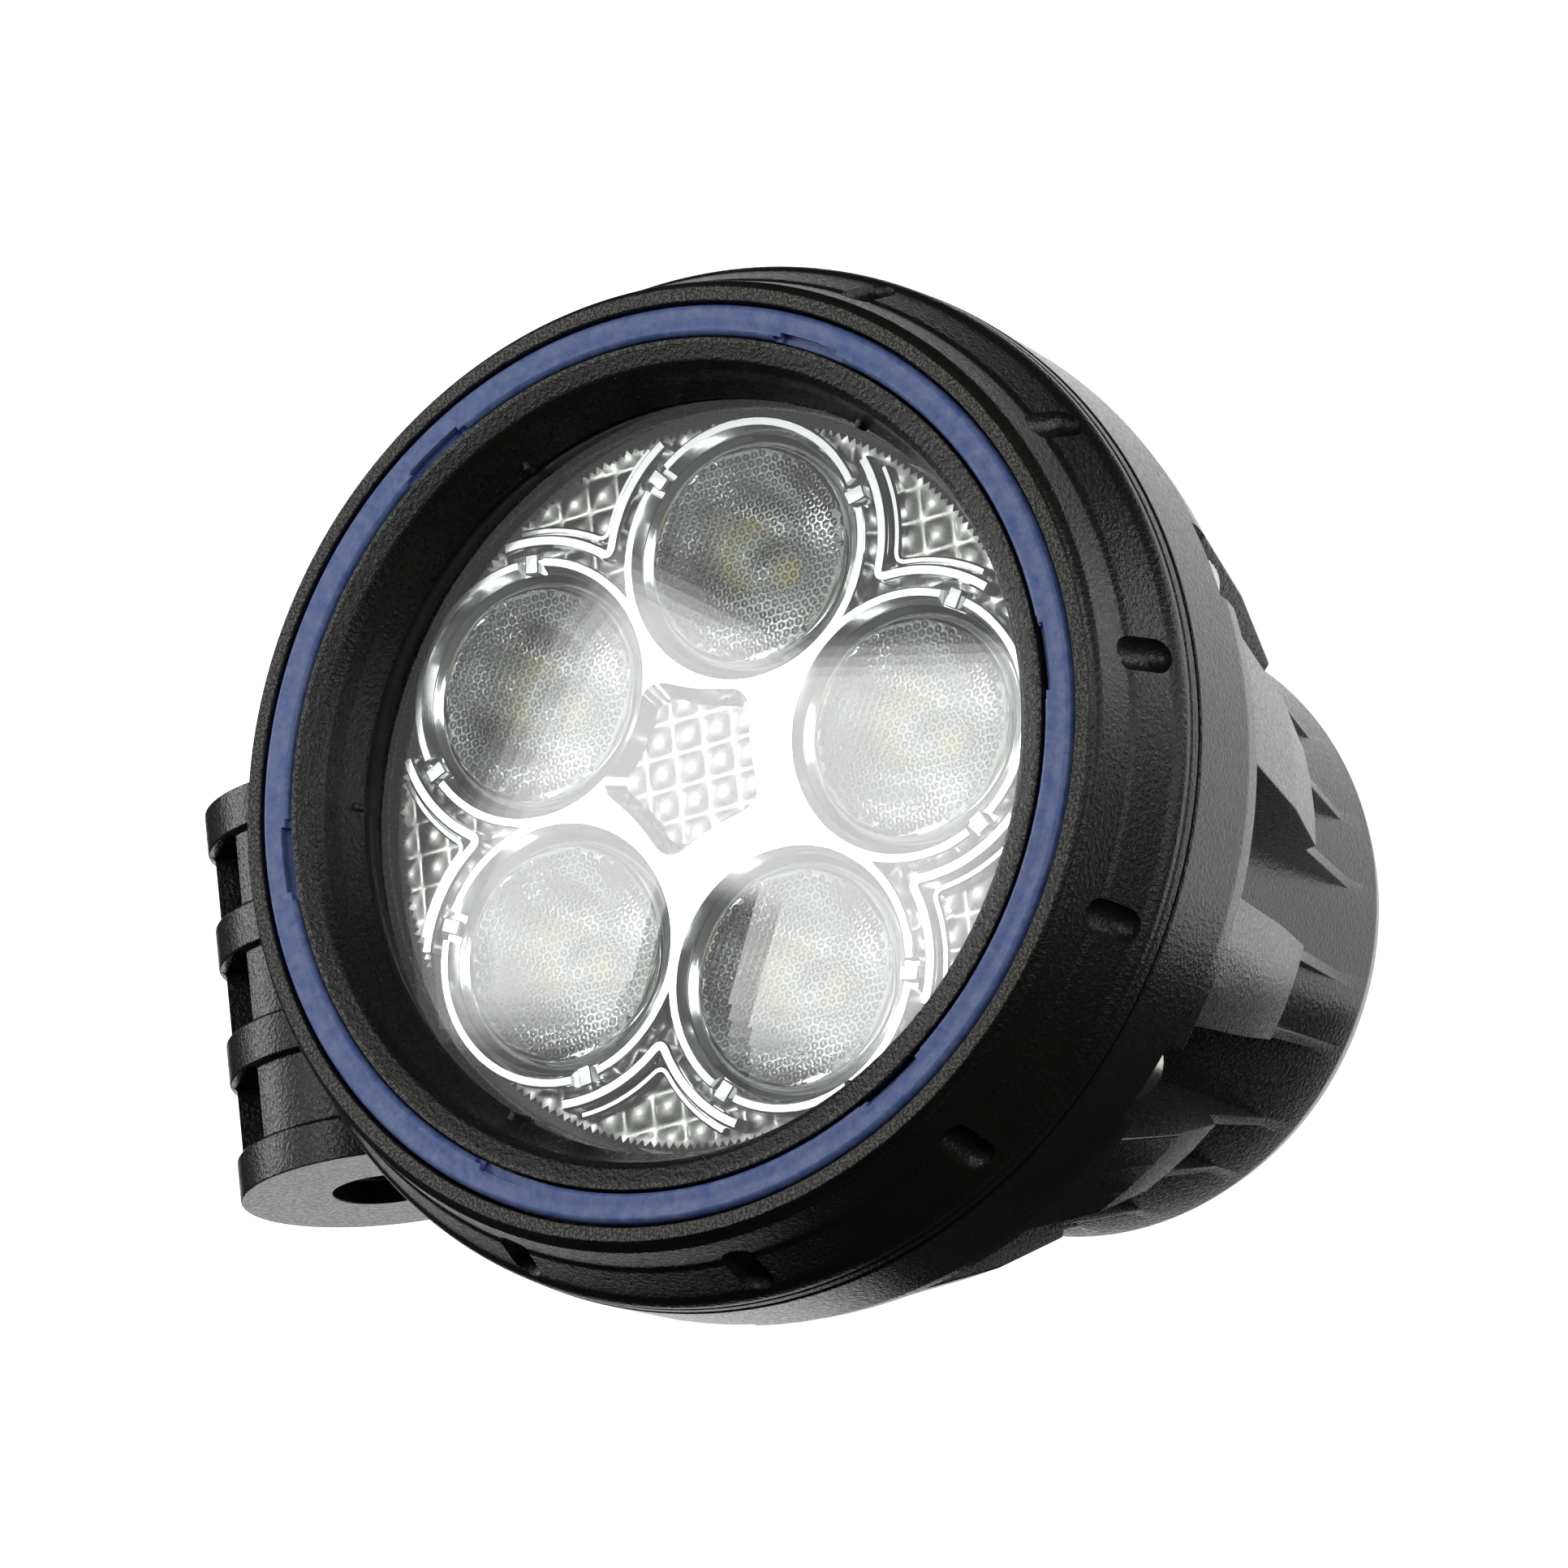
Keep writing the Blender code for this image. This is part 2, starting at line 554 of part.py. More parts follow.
def build_rear_housing():
    housing = housing_core()
    add_tabs_and_fins(housing)
    add_pivot_barrel(housing)
    cut_barrel(housing)
    add_gland_boss(housing)
    add_driver_posts(housing)
    cut_screw_notches(housing)


# ---- fasteners, driver, gland and pivot --------------------------------------------------------------
def build_bezel_screws():
    """Six socket cap screws that pass through the flange into the bezel."""
    head_radius, head_height = SCREW_HEAD
    top = SCREW_SEAT - GAP
    bottom, tip = top - head_height, BEZEL_REAR + 5.4
    profile = [
        (0.0, tip), (SCREW_SHANK, tip), (SCREW_SHANK, top), (head_radius, top),
        (head_radius, bottom + 0.4), (head_radius - 0.4, bottom), (0.0, bottom),
    ]
    socket = bmesh.new()
    add_cylinder(socket, SOCKET_RADIUS, (0, 0, bottom - 1.0), (0, 0, bottom + 2.2), 6)
    socket_mesh = mesh_from(socket, "socket")
    for index, angle in enumerate(spaced(SCREW_COUNT, SCREW_PHASE)):
        screw = turned(f"bezel_screw_{index + 1}", profile, "stainless", 14, closed=False)
        tool = add_cutter(f"socket_{index + 1}", socket_mesh)
        screw.location = tool.location = Vector(on_circle(SCREW_CIRCLE, angle)) * MM
        combine(screw, tool)


def build_driver():
    """Driver board on three posts, with its choke and two capacitors."""
    top = DRIVER_HEIGHT + 1.6
    board = turned("driver_board", [
        (0.0, top), (27.0, top), (27.0, DRIVER_HEIGHT), (0.0, DRIVER_HEIGHT),
    ], "driver", SMALL_SEGMENTS, closed=False)
    angles = spaced(DRIVER_POST_COUNT, DRIVER_POST_PHASE)
    drill(board, "driver_drill", DRIVER_POST_CIRCLE, angles, 1.8, DRIVER_HEIGHT - 1.0, top + 1.0)
    screw_profile = [(0.0, 1.8), (2.5, 1.8), (2.5, 0.0), (1.3, 0.0), (1.3, -7.0), (0.0, -7.0)]
    for index, angle in enumerate(angles):
        screw = turned(f"driver_screw_{index + 1}", screw_profile, "stainless", 10, closed=False)
        screw.location = Vector(on_circle(DRIVER_POST_CIRCLE, angle, top + GAP)) * MM
    low = top + GAP
    choke = turned("driver_choke", [
        (4.0, low + 6.5), (9.0, low + 6.5), (9.6, low + 5.5), (9.6, low + 1.0), (9.0, low), (4.0, low),
    ], "copper", 20)
    choke.location = Vector((-8.0, -4.0, 0.0)) * MM
    for index, spot in enumerate(((10.0, 8.0), (12.0, -5.0))):
        can = turned(f"driver_capacitor_{index + 1}", [
            (0.0, low + 12.0), (4.6, low + 12.0), (5.0, low + 11.5), (5.0, low), (0.0, low),
        ], "capacitor", 16, closed=False)
        can.location = Vector((*spot, 0.0)) * MM


def rod_part(name, slot, radius, start, end, segments):
    """A part that starts as one cylinder."""
    bm = bmesh.new()
    add_cylinder(bm, radius, start, end, segments)
    return add_object(name, mesh_from(bm, name), slot)


def build_gland():
    """Cable gland: threaded body, compression seal and cap nut, all bored along Y."""
    seat = GLAND_FACE - GAP
    body = rod_part("gland_body", "gland", 8.6, at_gland(seat), at_gland(seat - 4.0), 6)
    shape_with_rod(body, "gland_tail", GLAND_TAIL_RADIUS, at_gland(-27.6), at_gland(seat - 1.0), 20)
    shape_with_rod(body, "gland_thread", 5.8, at_gland(seat - 2.0), at_gland(seat - 9.0), 20)
    shape_with_rod(body, "gland_passage", 3.7, at_gland(-26.0), at_gland(seat - 10.0), 16, "DIFFERENCE")
    seal_start, seal_length = seat - 9.3, 3.0
    profile = [(3.4, seal_length), (5.6, seal_length), (5.6, 0.0), (3.4, 0.0)]
    seal = turned("gland_seal", profile, "rubber", 20)
    seal.location = Vector(at_gland(seal_start)) * MM
    seal.rotation_euler = (math.radians(90.0), 0.0, 0.0)
    nut = rod_part("gland_nut", "gland", 8.3, at_gland(seat - 4.3), at_gland(seat - 12.0), 6)
    shape_with_rod(nut, "nut_cap", 6.9, at_gland(seat - 5.0), at_gland(seat - 14.8), 20)
    shape_with_rod(nut, "nut_hollow", 6.1, at_gland(seat - 3.0), at_gland(seat - 12.6), 20, "DIFFERENCE")
    shape_with_rod(nut, "nut_mouth", 4.0, at_gland(seat - 12.0), at_gland(seat - 16.0), 16, "DIFFERENCE")


def build_pivot_sleeve():
    """Sleeve that lines the barrel; the bracket's bolt passes through it."""
    half = BARREL_LENGTH / 2 - 2.2
    outer = BARREL_BORE - GAP
    profile = [(SLEEVE_BORE, half), (outer, half), (outer, -half), (SLEEVE_BORE, -half)]
    sleeve = turned("pivot_sleeve", profile, "sleeve", 24)
    sleeve.location = Vector((0.0, *BARREL_CENTRE)) * MM
    sleeve.rotation_euler = (0.0, math.radians(90.0), 0.0)


def build_lamp():
    build_front_bezel()
    build_colour_ring()
    build_window()
    build_lens_carrier()
    build_lenses()
    build_emitters()
    build_light_engine()
    build_rear_housing()
    build_bezel_screws()
    build_driver()
    build_gland()
    build_pivot_sleeve()


build_lamp()
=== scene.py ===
"""Looks of the underwater pond light: fine meshes, materials, lights and camera.

Shapes are built in millimetres; piece() and stage_piece() turn them into metres.
"""
import json
import math

import bmesh
import bpy
from mathutils import Matrix, Vector
from mathutils.geometry import delaunay_2d_cdt


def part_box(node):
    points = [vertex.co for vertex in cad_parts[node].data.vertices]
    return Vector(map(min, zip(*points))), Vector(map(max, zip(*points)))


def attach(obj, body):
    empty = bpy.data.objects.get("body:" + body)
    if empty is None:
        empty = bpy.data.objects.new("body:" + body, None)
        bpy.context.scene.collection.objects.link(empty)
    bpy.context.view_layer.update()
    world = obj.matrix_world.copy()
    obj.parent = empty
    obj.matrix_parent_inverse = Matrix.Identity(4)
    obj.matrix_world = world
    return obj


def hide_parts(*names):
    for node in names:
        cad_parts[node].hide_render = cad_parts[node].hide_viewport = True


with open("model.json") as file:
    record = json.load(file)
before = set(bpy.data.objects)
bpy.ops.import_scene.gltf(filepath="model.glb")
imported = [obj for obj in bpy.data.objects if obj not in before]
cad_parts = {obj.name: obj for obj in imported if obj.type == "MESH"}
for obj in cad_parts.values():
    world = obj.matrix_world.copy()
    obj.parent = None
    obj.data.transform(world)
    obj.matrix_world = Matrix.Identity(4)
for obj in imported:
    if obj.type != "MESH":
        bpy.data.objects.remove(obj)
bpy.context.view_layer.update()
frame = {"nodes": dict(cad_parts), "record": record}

MM = 0.001
HEAD = "lamp_head"
FINE = 240                    # facets round the large turned pieces
MEDIUM = 96                   # round the lenses, cups, barrel, sleeve and cap nut
SMALL = 48                    # round the gland
SHARP = 32.0                  # degrees between faces that stay a hard edge in shading


def top_of(node):
    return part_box(node)[1].z / MM


def bottom_of(node):
    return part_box(node)[0].z / MM


def reach_of(node):
    """Largest X of a round node that is centred on the lamp's axis."""
    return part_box(node)[1].x / MM


def centre_of(node):
    low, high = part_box(node)
    return (low + high) / 2 / MM


# ---- driving places, read from the frame -----------------------------------------------
LAMP_TOP = top_of("colour_ring")
RING_OUTER = reach_of("colour_ring")
BEZEL_REAR = bottom_of("front_bezel")
BEZEL_OUTER = reach_of("front_bezel")
GLASS_TOP = top_of("window_glass")
GLASS_BOTTOM = bottom_of("window_glass")
GLASS_RADIUS = reach_of("window_glass")
CARRIER_TOP = top_of("lens_carrier")
CARRIER_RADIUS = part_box("lens_carrier")[1].y / MM
LENS_TOP = top_of("collimator_lens_1")
LENS_BOTTOM = bottom_of("collimator_lens_1")
LENS_COUNT = 5
LENS_CIRCLE = centre_of("collimator_lens_1").y
LENS_RADIUS = (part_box("collimator_lens_1")[1].y / MM) - LENS_CIRCLE
LENS_ANGLES = [math.radians(90.0 + 72.0 * index) for index in range(LENS_COUNT)]
GAP_ANGLES = [math.radians(54.0 + 72.0 * index) for index in range(LENS_COUNT)]
LENS_FACE = LENS_TOP - 0.13   # level of the face round the honeycomb
PETAL_RADIUS = 13.6
CLIP_TURNS = (-math.radians(60.0), math.radians(60.0))    # from the outward side of a petal
FLANGE_TOP = BEZEL_REAR - 0.3
SCREW_ANGLES = [math.radians(45.0 + 60.0 * index) for index in range(6)]
SCREW_CIRCLE = 46.8
SCREW_SEAT = 71.1
BARREL = (-63.5, 45.9)        # Y and Z of the pivot axis
BORE_RADIUS = 5.7             # of the barrel, round the sleeve
GLAND_HEIGHT = centre_of("gland_body").z


# ---- mesh helpers ----------------------------------------------------------------------
def on_circle(radius, angle, height=0.0):
    return Vector((radius * math.cos(angle), radius * math.sin(angle), height))


def arc(centre, radius, start, end, steps):
    """Points of an arc in a plane, angles in radians."""
    points = []
    for index in range(steps + 1):
        angle = start + (end - start) * index / steps
        points.append((centre[0] + radius * math.cos(angle), centre[1] + radius * math.sin(angle)))
    return points


def eased(points, radius, closed=True, steps=3):
    """The same outline with its corners rounded."""
    count = len(points)
    result = []
    for index, point in enumerate(points):
        corner = Vector(point)
        if not closed and index in (0, count - 1):
            result.append(tuple(corner))
            continue
        before = Vector(points[index - 1]) - corner
        after = Vector(points[(index + 1) % count]) - corner
        cut = min(radius, 0.42 * before.length, 0.42 * after.length)
        start = corner + before.normalized() * cut
        end = corner + after.normalized() * cut
        for step in range(steps + 1):
            t = step / steps
            spot = start * (1 - t) ** 2 + corner * 2 * t * (1 - t) + end * t * t
            result.append(tuple(spot))
    return result


def lathe(profile, segments=FINE, closed=True, phase=0.0, wave=None):
    """Turn a (radius, height) profile about Z. wave(radius, height, step) may change a radius."""
    bm = bmesh.new()
    rings = []
    for radius, height in profile:
        if radius < 1e-6:
            rings.append([bm.verts.new((0.0, 0.0, height))])
            continue
        ring = []
        for step in range(segments):
            angle = phase + 2 * math.pi * step / segments
            size = wave(radius, height, step) if wave else radius
            ring.append(bm.verts.new(on_circle(size, angle, height)))
        rings.append(ring)
    pairs = list(zip(rings, rings[1:]))
    if closed:
        pairs.append((rings[-1], rings[0]))
    for first, second in pairs:
        for step in range(segments):
            following = (step + 1) % segments
            corners = [first[step % len(first)], first[following % len(first)],
                       second[following % len(second)], second[step % len(second)]]
            corners = [vert for place, vert in enumerate(corners) if vert not in corners[:place]]
            if len(corners) > 2:
                bm.faces.new(corners)
    bmesh.ops.recalc_face_normals(bm, faces=bm.faces)
    return bm


def skinned(bm, rings):
    """Join rings of vertices into a bar with flat ends."""
    count = len(rings[0])
    for first, second in zip(rings, rings[1:]):
        for index in range(count):
            following = (index + 1) % count
            bm.faces.new((first[index], first[following], second[following], second[index]))
    bm.faces.new(rings[0])
    bm.faces.new(rings[-1])
    bmesh.ops.recalc_face_normals(bm, faces=bm.faces)
    return bm


def sector(profile, middle, half_angle, steps=4):
    """A (radius, height) outline swept through an angle about Z."""
    bm = bmesh.new()
    rings = []
    for step in range(steps + 1):
        angle = middle + half_angle * (2 * step / steps - 1)
        rings.append([bm.verts.new(on_circle(radius, angle, height)) for radius, height in profile])
    return skinned(bm, rings)


def prism(outline, bottom, top, ease=0.0, shrink=None):
    """Extrude an outline; ease rounds the top edge, shrink scales the bottom about a centre."""
    bm = bmesh.new()
    low = [bm.verts.new((x, y, bottom)) for x, y in outline]
    high = [bm.verts.new((x, y, top)) for x, y in outline]
    if shrink:
        centre, factor = shrink
        for vert in low:
            vert.co.x = centre[0] + (vert.co.x - centre[0]) * factor
            vert.co.y = centre[1] + (vert.co.y - centre[1]) * factor
    count = len(outline)
    for index in range(count):
        following = (index + 1) % count
        bm.faces.new((low[index], low[following], high[following], high[index]))
    bm.faces.new(low)
    lid = bm.faces.new(high)
    bmesh.ops.recalc_face_normals(bm, faces=bm.faces)
    if ease:
        bmesh.ops.bevel(
            bm, geom=list(lid.edges), offset=ease, segments=3, profile=0.5, affect="EDGES")
    return bm


def rod(radius, low, high, segments):
    """A solid round rod along Z."""
    return lathe([(0.0, low), (radius, low), (radius, high), (0.0, high)], segments, closed=False)


def box(low, high, ease=0.0):
    bm = bmesh.new()
    size = [high[axis] - low[axis] for axis in range(3)]
    middle = [(high[axis] + low[axis]) / 2 for axis in range(3)]
    stretch = Matrix.Diagonal((*size, 1.0))
    bmesh.ops.create_cube(bm, size=1.0, matrix=Matrix.Translation(middle) @ stretch)
    if ease:
        bmesh.ops.bevel(bm, geom=bm.edges[:], offset=ease, segments=2, profile=0.5, affect="EDGES")
    return bm


def moved(bm, matrix):
    bmesh.ops.transform(bm, matrix=matrix, verts=bm.verts)
    return bm


def turned(bm, angle):
    return moved(bm, Matrix.Rotation(angle, 4, "Z"))


def at_lens(bm, angle):
    """Carry a shape from the lamp's axis to the axis of a lens."""
    return moved(bm, Matrix.Translation(on_circle(LENS_CIRCLE, angle)))


def along_barrel(bm):
    """Lay a shape that stands on Z along the pivot axis."""
    lay = Matrix(((0, 0, 1, 0), (0, 1, 0, 0), (-1, 0, 0, 0), (0, 0, 0, 1)))
    return moved(bm, Matrix.Translation((0.0, *BARREL)) @ lay)


def along_gland(start, degrees):
    """The matrix that lays a shape that stands on Z along the gland's axis, from Y = start."""
    lay = Matrix.Rotation(math.radians(degrees), 4, "X")
    return Matrix.Translation((0.0, start, GLAND_HEIGHT)) @ lay


def gathered(parts):
    """Several shapes in one mesh."""
    whole = bmesh.new()
    for part in parts:
        mesh = bpy.data.meshes.new("part")
        part.to_mesh(mesh)
        part.free()
        whole.from_mesh(mesh)
        bpy.data.meshes.remove(mesh)
    return whole


def temporary(bm, name):
    mesh = bpy.data.meshes.new(name)
    bm.to_mesh(mesh)
    bm.free()
    item = bpy.data.objects.new(name, mesh)
    bpy.context.scene.collection.objects.link(item)
    return item


def combined(bm, tool, operation="DIFFERENCE"):
    """The exact Boolean of two shapes, as a new shape."""
    base, cutter = temporary(bm, "base"), temporary(tool, "cutter")
    modifier = base.modifiers.new("combine", "BOOLEAN")
    modifier.operation = operation
    modifier.solver = "EXACT"
    modifier.object = cutter
    graph = bpy.context.evaluated_depsgraph_get()
    mesh = bpy.data.meshes.new_from_object(base.evaluated_get(graph))
    result = bmesh.new()
    result.from_mesh(mesh)
    for item in (base, cutter):
        data = item.data
        bpy.data.objects.remove(item, do_unlink=True)
        bpy.data.meshes.remove(data)
    bpy.data.meshes.remove(mesh)
    return result


def soften(bm, width, angle=28.0):
    """Round every edge that is sharper than the angle, in degrees."""
    bmesh.ops.remove_doubles(bm, verts=bm.verts, dist=0.002)
    bmesh.ops.dissolve_limit(
        bm, angle_limit=math.radians(0.5), verts=bm.verts, edges=bm.edges, delimit={"NORMAL"})
    limit = math.radians(angle)
    inner = [edge for edge in bm.edges if len(edge.link_faces) == 2]
    sharp = [edge for edge in inner if edge.calc_face_angle() > limit]
    bmesh.ops.bevel(
        bm, geom=sharp, offset=width, segments=2, profile=0.5, affect="EDGES", clamp_overlap=True)
    return bm


def level_normals(item):
    """Keep flat faces flat in shading, beside their rounded edges."""
    modifier = item.modifiers.new("normals", "WEIGHTED_NORMAL")
    modifier.keep_sharp = True
    modifier.weight = 80
    graph = bpy.context.evaluated_depsgraph_get()
    rough = item.data
    item.data = bpy.data.meshes.new_from_object(item.evaluated_get(graph))
    item.modifiers.clear()
    bpy.data.meshes.remove(rough)


def piece(name, bm, material, body, replaced=(), sharp=SHARP):
    """Make the object of a shape in millimetres and tie it to its body and CAD nodes."""
    bmesh.ops.scale(bm, vec=(MM, MM, MM), verts=bm.verts)
    mesh = bpy.data.meshes.new(name)
    bm.to_mesh(mesh)
    bm.free()
    mesh.materials.append(material)
    mesh.shade_smooth()
    mesh.set_sharp_from_angle(angle=math.radians(sharp))
    item = bpy.data.objects.new(name, mesh)
    bpy.context.scene.collection.objects.link(item)
    level_normals(item)
    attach(item, body)
    if replaced:
        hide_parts(*replaced)


# ---- materials -------------------------------------------------------------------------
class Finish:
    """A Principled material with small helpers for its node tree."""

    def __init__(self, name, colour, roughness, metallic=0.0):
        self.material = bpy.data.materials.new(name)
        self.material.use_nodes = True
        self.nodes = self.material.node_tree.nodes
        self.links = self.material.node_tree.links
        self.shader = self.nodes["Principled BSDF"]
        self.set("Base Color", (*colour, 1.0))
        self.set("Roughness", roughness)
        self.set("Metallic", metallic)
        self.place = self.nodes.new("ShaderNodeTexCoord").outputs["Object"]

    def set(self, socket, value):
        self.shader.inputs[socket].default_value = value

    def join(self, output, target):
        self.links.new(output, target)

    def noise(self, scale, detail=3.0, roughness=0.55, stretch=None):
        node = self.nodes.new("ShaderNodeTexNoise")
        node.inputs["Scale"].default_value = scale
        node.inputs["Detail"].default_value = detail
        node.inputs["Roughness"].default_value = roughness
        place = self.place
        if stretch:
            mapping = self.nodes.new("ShaderNodeMapping")
            mapping.inputs["Scale"].default_value = stretch
            self.join(place, mapping.inputs["Vector"])
            place = mapping.outputs["Vector"]
        self.join(place, node.inputs["Vector"])
        return node.outputs["Fac"]

    def ramp(self, source, stops):
        """Map a 0 to 1 value through (position, colour) stops."""
        node = self.nodes.new("ShaderNodeValToRGB")
        elements = node.color_ramp.elements
        while len(elements) < len(stops):
            elements.new(0.5)
        for element, (position, colour) in zip(elements, stops):
            element.position = position
            element.color = (*colour, 1.0)
        self.join(source, node.inputs["Fac"])
        return node.outputs["Color"]

    def tint(self, source, stops):
        """Drive the base colour through (position, colour) stops."""
        self.join(self.ramp(source, stops), self.shader.inputs["Base Color"])

    def polish(self, source, stops):
        """Drive the roughness through (position, value) stops."""
        greys = [(position, (value,) * 3) for position, value in stops]
        self.join(self.ramp(source, greys), self.shader.inputs["Roughness"])

    def bump(self, source, strength, distance, after=None):
        node = self.nodes.new("ShaderNodeBump")
        node.inputs["Strength"].default_value = strength
        node.inputs["Distance"].default_value = distance
        self.join(source, node.inputs["Height"])
        if after is not None:
            self.join(after, node.inputs["Normal"])
        self.join(node.outputs["Normal"], self.shader.inputs["Normal"])
        return node.outputs["Normal"]


def grained_plastic(name, dark, light, grain, depth, roughness=(0.36, 0.56)):
    """Black moulded plastic with a spark-eroded grain and faint wear."""
    finish = Finish(name, dark, roughness[0])
    finish.tint(finish.noise(90.0, 4.0), [(0.35, dark), (0.75, light)])
    spots = finish.noise(grain, 2.0, 0.6)
    finish.polish(spots, [(0.30, roughness[1]), (0.62, roughness[0])])
    coarse = finish.bump(spots, 0.9, depth)
    finish.bump(finish.noise(grain * 2.6, 1.0), 0.5, depth * 0.4, coarse)
    return finish.material


def glint_painted_plastic(name, dark, light, grain):
    """Coarse grain whose tops are painted light: painted sparkle highlights on black plastic, over
    a real grain bump.
    """
    finish = Finish(name, dark, 0.6)
    spots = finish.noise(grain, 1.0)
    # painted highlight: light speckles stand in for glints off the grain
    finish.tint(spots, [(0.44, dark), (0.64, light)])
    finish.bump(spots, 0.9, 0.0001)
    return finish.material


def ring_plastic():
    """Satin blue trim with a mottled skin; the paler blue of the mottle is partly painted sheen."""
    finish = Finish("blue_trim", (0.20, 0.27, 0.52), 0.42)
    mottle_and_sheen = finish.noise(800.0, 5.0, 0.7)
    # random mottle of the blue; its paler tone is partly a painted sheen
    finish.tint(mottle_and_sheen, [(0.35, (0.090, 0.165, 0.47)), (0.75, (0.27, 0.33, 0.60))])
    fine = finish.noise(2400.0, 2.0)
    finish.polish(fine, [(0.3, 0.34), (0.7, 0.52)])
    finish.bump(fine, 0.5, 0.00003)
    return finish.material


def paint_shade_in_pits(finish, face, light):
    """Tint a clear face, at this height, with painted shade: the small pits in it are coloured
    dark.
    """
    split = finish.nodes.new("ShaderNodeSeparateXYZ")
    spread = finish.nodes.new("ShaderNodeMapRange")
    finish.join(finish.place, split.inputs["Vector"])
    finish.join(split.outputs["Z"], spread.inputs["Value"])
    spread.inputs["From Min"].default_value = (face - 0.10) * MM
    spread.inputs["From Max"].default_value = (face + 0.05) * MM
    # painted shade: near-black colour in the ring-shaped pits of the honeycomb
    shade = [(0.20, (0.05, 0.05, 0.05)), (0.55, (0.07, 0.07, 0.07))]
    finish.tint(spread.outputs["Result"], [(0.04, light), *shade, (0.80, light)])


def see_through(name, colour, roughness, ior, pitted_face=None):
    """Clear material that lets lamps through, so that what is behind it is lit."""
    finish = Finish(name, colour, roughness)
    finish.set("Transmission Weight", 1.0)
    finish.set("IOR", ior)
    # painted shade in the pits of a honeycomb face at this height
    if pitted_face:
        paint_shade_in_pits(finish, pitted_face, colour)
    finish.polish(finish.noise(60.0, 3.0), [(0.45, roughness), (0.85, roughness + 0.02)])
    path = finish.nodes.new("ShaderNodeLightPath")
    clear = finish.nodes.new("ShaderNodeBsdfTransparent")
    clear.inputs["Color"].default_value = (*colour, 1.0)
    mix = finish.nodes.new("ShaderNodeMixShader")
    finish.join(path.outputs["Is Shadow Ray"], mix.inputs["Fac"])
    finish.join(finish.shader.outputs["BSDF"], mix.inputs[1])
    finish.join(clear.outputs["BSDF"], mix.inputs[2])
    finish.join(mix.outputs["Shader"], finish.nodes["Material Output"].inputs["Surface"])
    return finish.material


def silvered_plastic(name, colour, roughness):
    """Metallised moulding with a faint orange-peel ripple."""
    finish = Finish(name, colour, roughness, 1.0)
    peel = finish.noise(500.0, 2.0)
    finish.tint(peel, [(0.3, tuple(part * 0.88 for part in colour)), (0.7, colour)])
    finish.polish(peel, [(0.3, roughness + 0.05), (0.7, roughness)])
    finish.bump(peel, 0.5, 0.00002)
    return finish.material


def metal(name, colour, roughness, stretch=(1.0, 1.0, 14.0)):
    """Machined or drawn metal with fine lines."""
    finish = Finish(name, colour, roughness, 1.0)
    lines = finish.noise(900.0, 3.0, 0.6, stretch)
    finish.tint(lines, [(0.3, tuple(part * 0.8 for part in colour)), (0.7, colour)])
    finish.polish(lines, [(0.3, roughness + 0.12), (0.7, roughness)])
    finish.bump(lines, 0.4, 0.00002)
    return finish.material


def plain_coat(name, dark, light, roughness, scale=300.0):
    """Printed, painted or rubber surface with slight variation."""
    finish = Finish(name, dark, roughness)
    cloud = finish.noise(scale, 4.0)
    finish.tint(cloud, [(0.3, dark), (0.7, light)])
    finish.polish(cloud, [(0.3, roughness + 0.08), (0.7, roughness)])
    finish.bump(finish.noise(scale * 6.0, 2.0), 0.35, 0.00003)
    return finish.material


HOUSING = grained_plastic("housing_plastic", (0.013, 0.013, 0.012), (0.021, 0.021, 0.019),
                          2300.0, 0.00010, (0.20, 0.36))
BEZEL = grained_plastic("bezel_plastic", (0.011, 0.011, 0.010), (0.016, 0.016, 0.014),
                        2300.0, 0.00013, (0.26, 0.42))
# the lips' light speckles are painted sparkle highlights
LIP = glint_painted_plastic("bezel_lip_plastic", (0.025, 0.025, 0.022), (0.21, 0.21, 0.19), 3800.0)
TRIM = ring_plastic()
WINDOW = see_through("window_glass_clear", (0.97, 0.99, 0.98), 0.0, 1.45)
# the optic's honeycomb face carries painted shade in its pits
OPTIC = see_through("optic_clear", (0.97, 0.98, 0.98), 0.0, 1.49, LENS_FACE)
SILVER = silvered_plastic("silvered_carrier", (0.88, 0.89, 0.89), 0.10)
QUILT = silvered_plastic("silvered_quilt", (0.50, 0.50, 0.48), 0.24)
RUBBER = plain_coat("seal_rubber", (0.012, 0.012, 0.012), (0.022, 0.022, 0.022), 0.7)
STEEL = metal("stainless", (0.62, 0.61, 0.58), 0.24)
ALUMINIUM = metal("spreader_aluminium", (0.72, 0.73, 0.74), 0.32)
BOARD = plain_coat("board_mask", (0.80, 0.81, 0.80), (0.88, 0.89, 0.88), 0.4)
DRIVER = plain_coat("driver_mask", (0.02, 0.13, 0.05), (0.03, 0.18, 0.08), 0.4)
PHOSPHOR = plain_coat("phosphor", (0.90, 0.68, 0.02), (0.98, 0.82, 0.06), 0.3, 1500.0)
PAD = plain_coat("gap_pad", (0.40, 0.41, 0.46), (0.48, 0.49, 0.53), 0.8)
CAN = plain_coat("capacitor_sleeve", (0.02, 0.03, 0.08), (0.04, 0.05, 0.11), 0.35)
COPPER = metal("copper_winding", (0.75, 0.36, 0.18), 0.3, (1.0, 1.0, 6.0))
NYLON = grained_plastic("gland_nylon", (0.018, 0.018, 0.019), (0.032, 0.032, 0.034),
                        1800.0, 0.00004)
ACETAL = grained_plastic("sleeve_acetal", (0.05, 0.05, 0.05), (0.09, 0.09, 0.09), 1500.0, 0.00003)

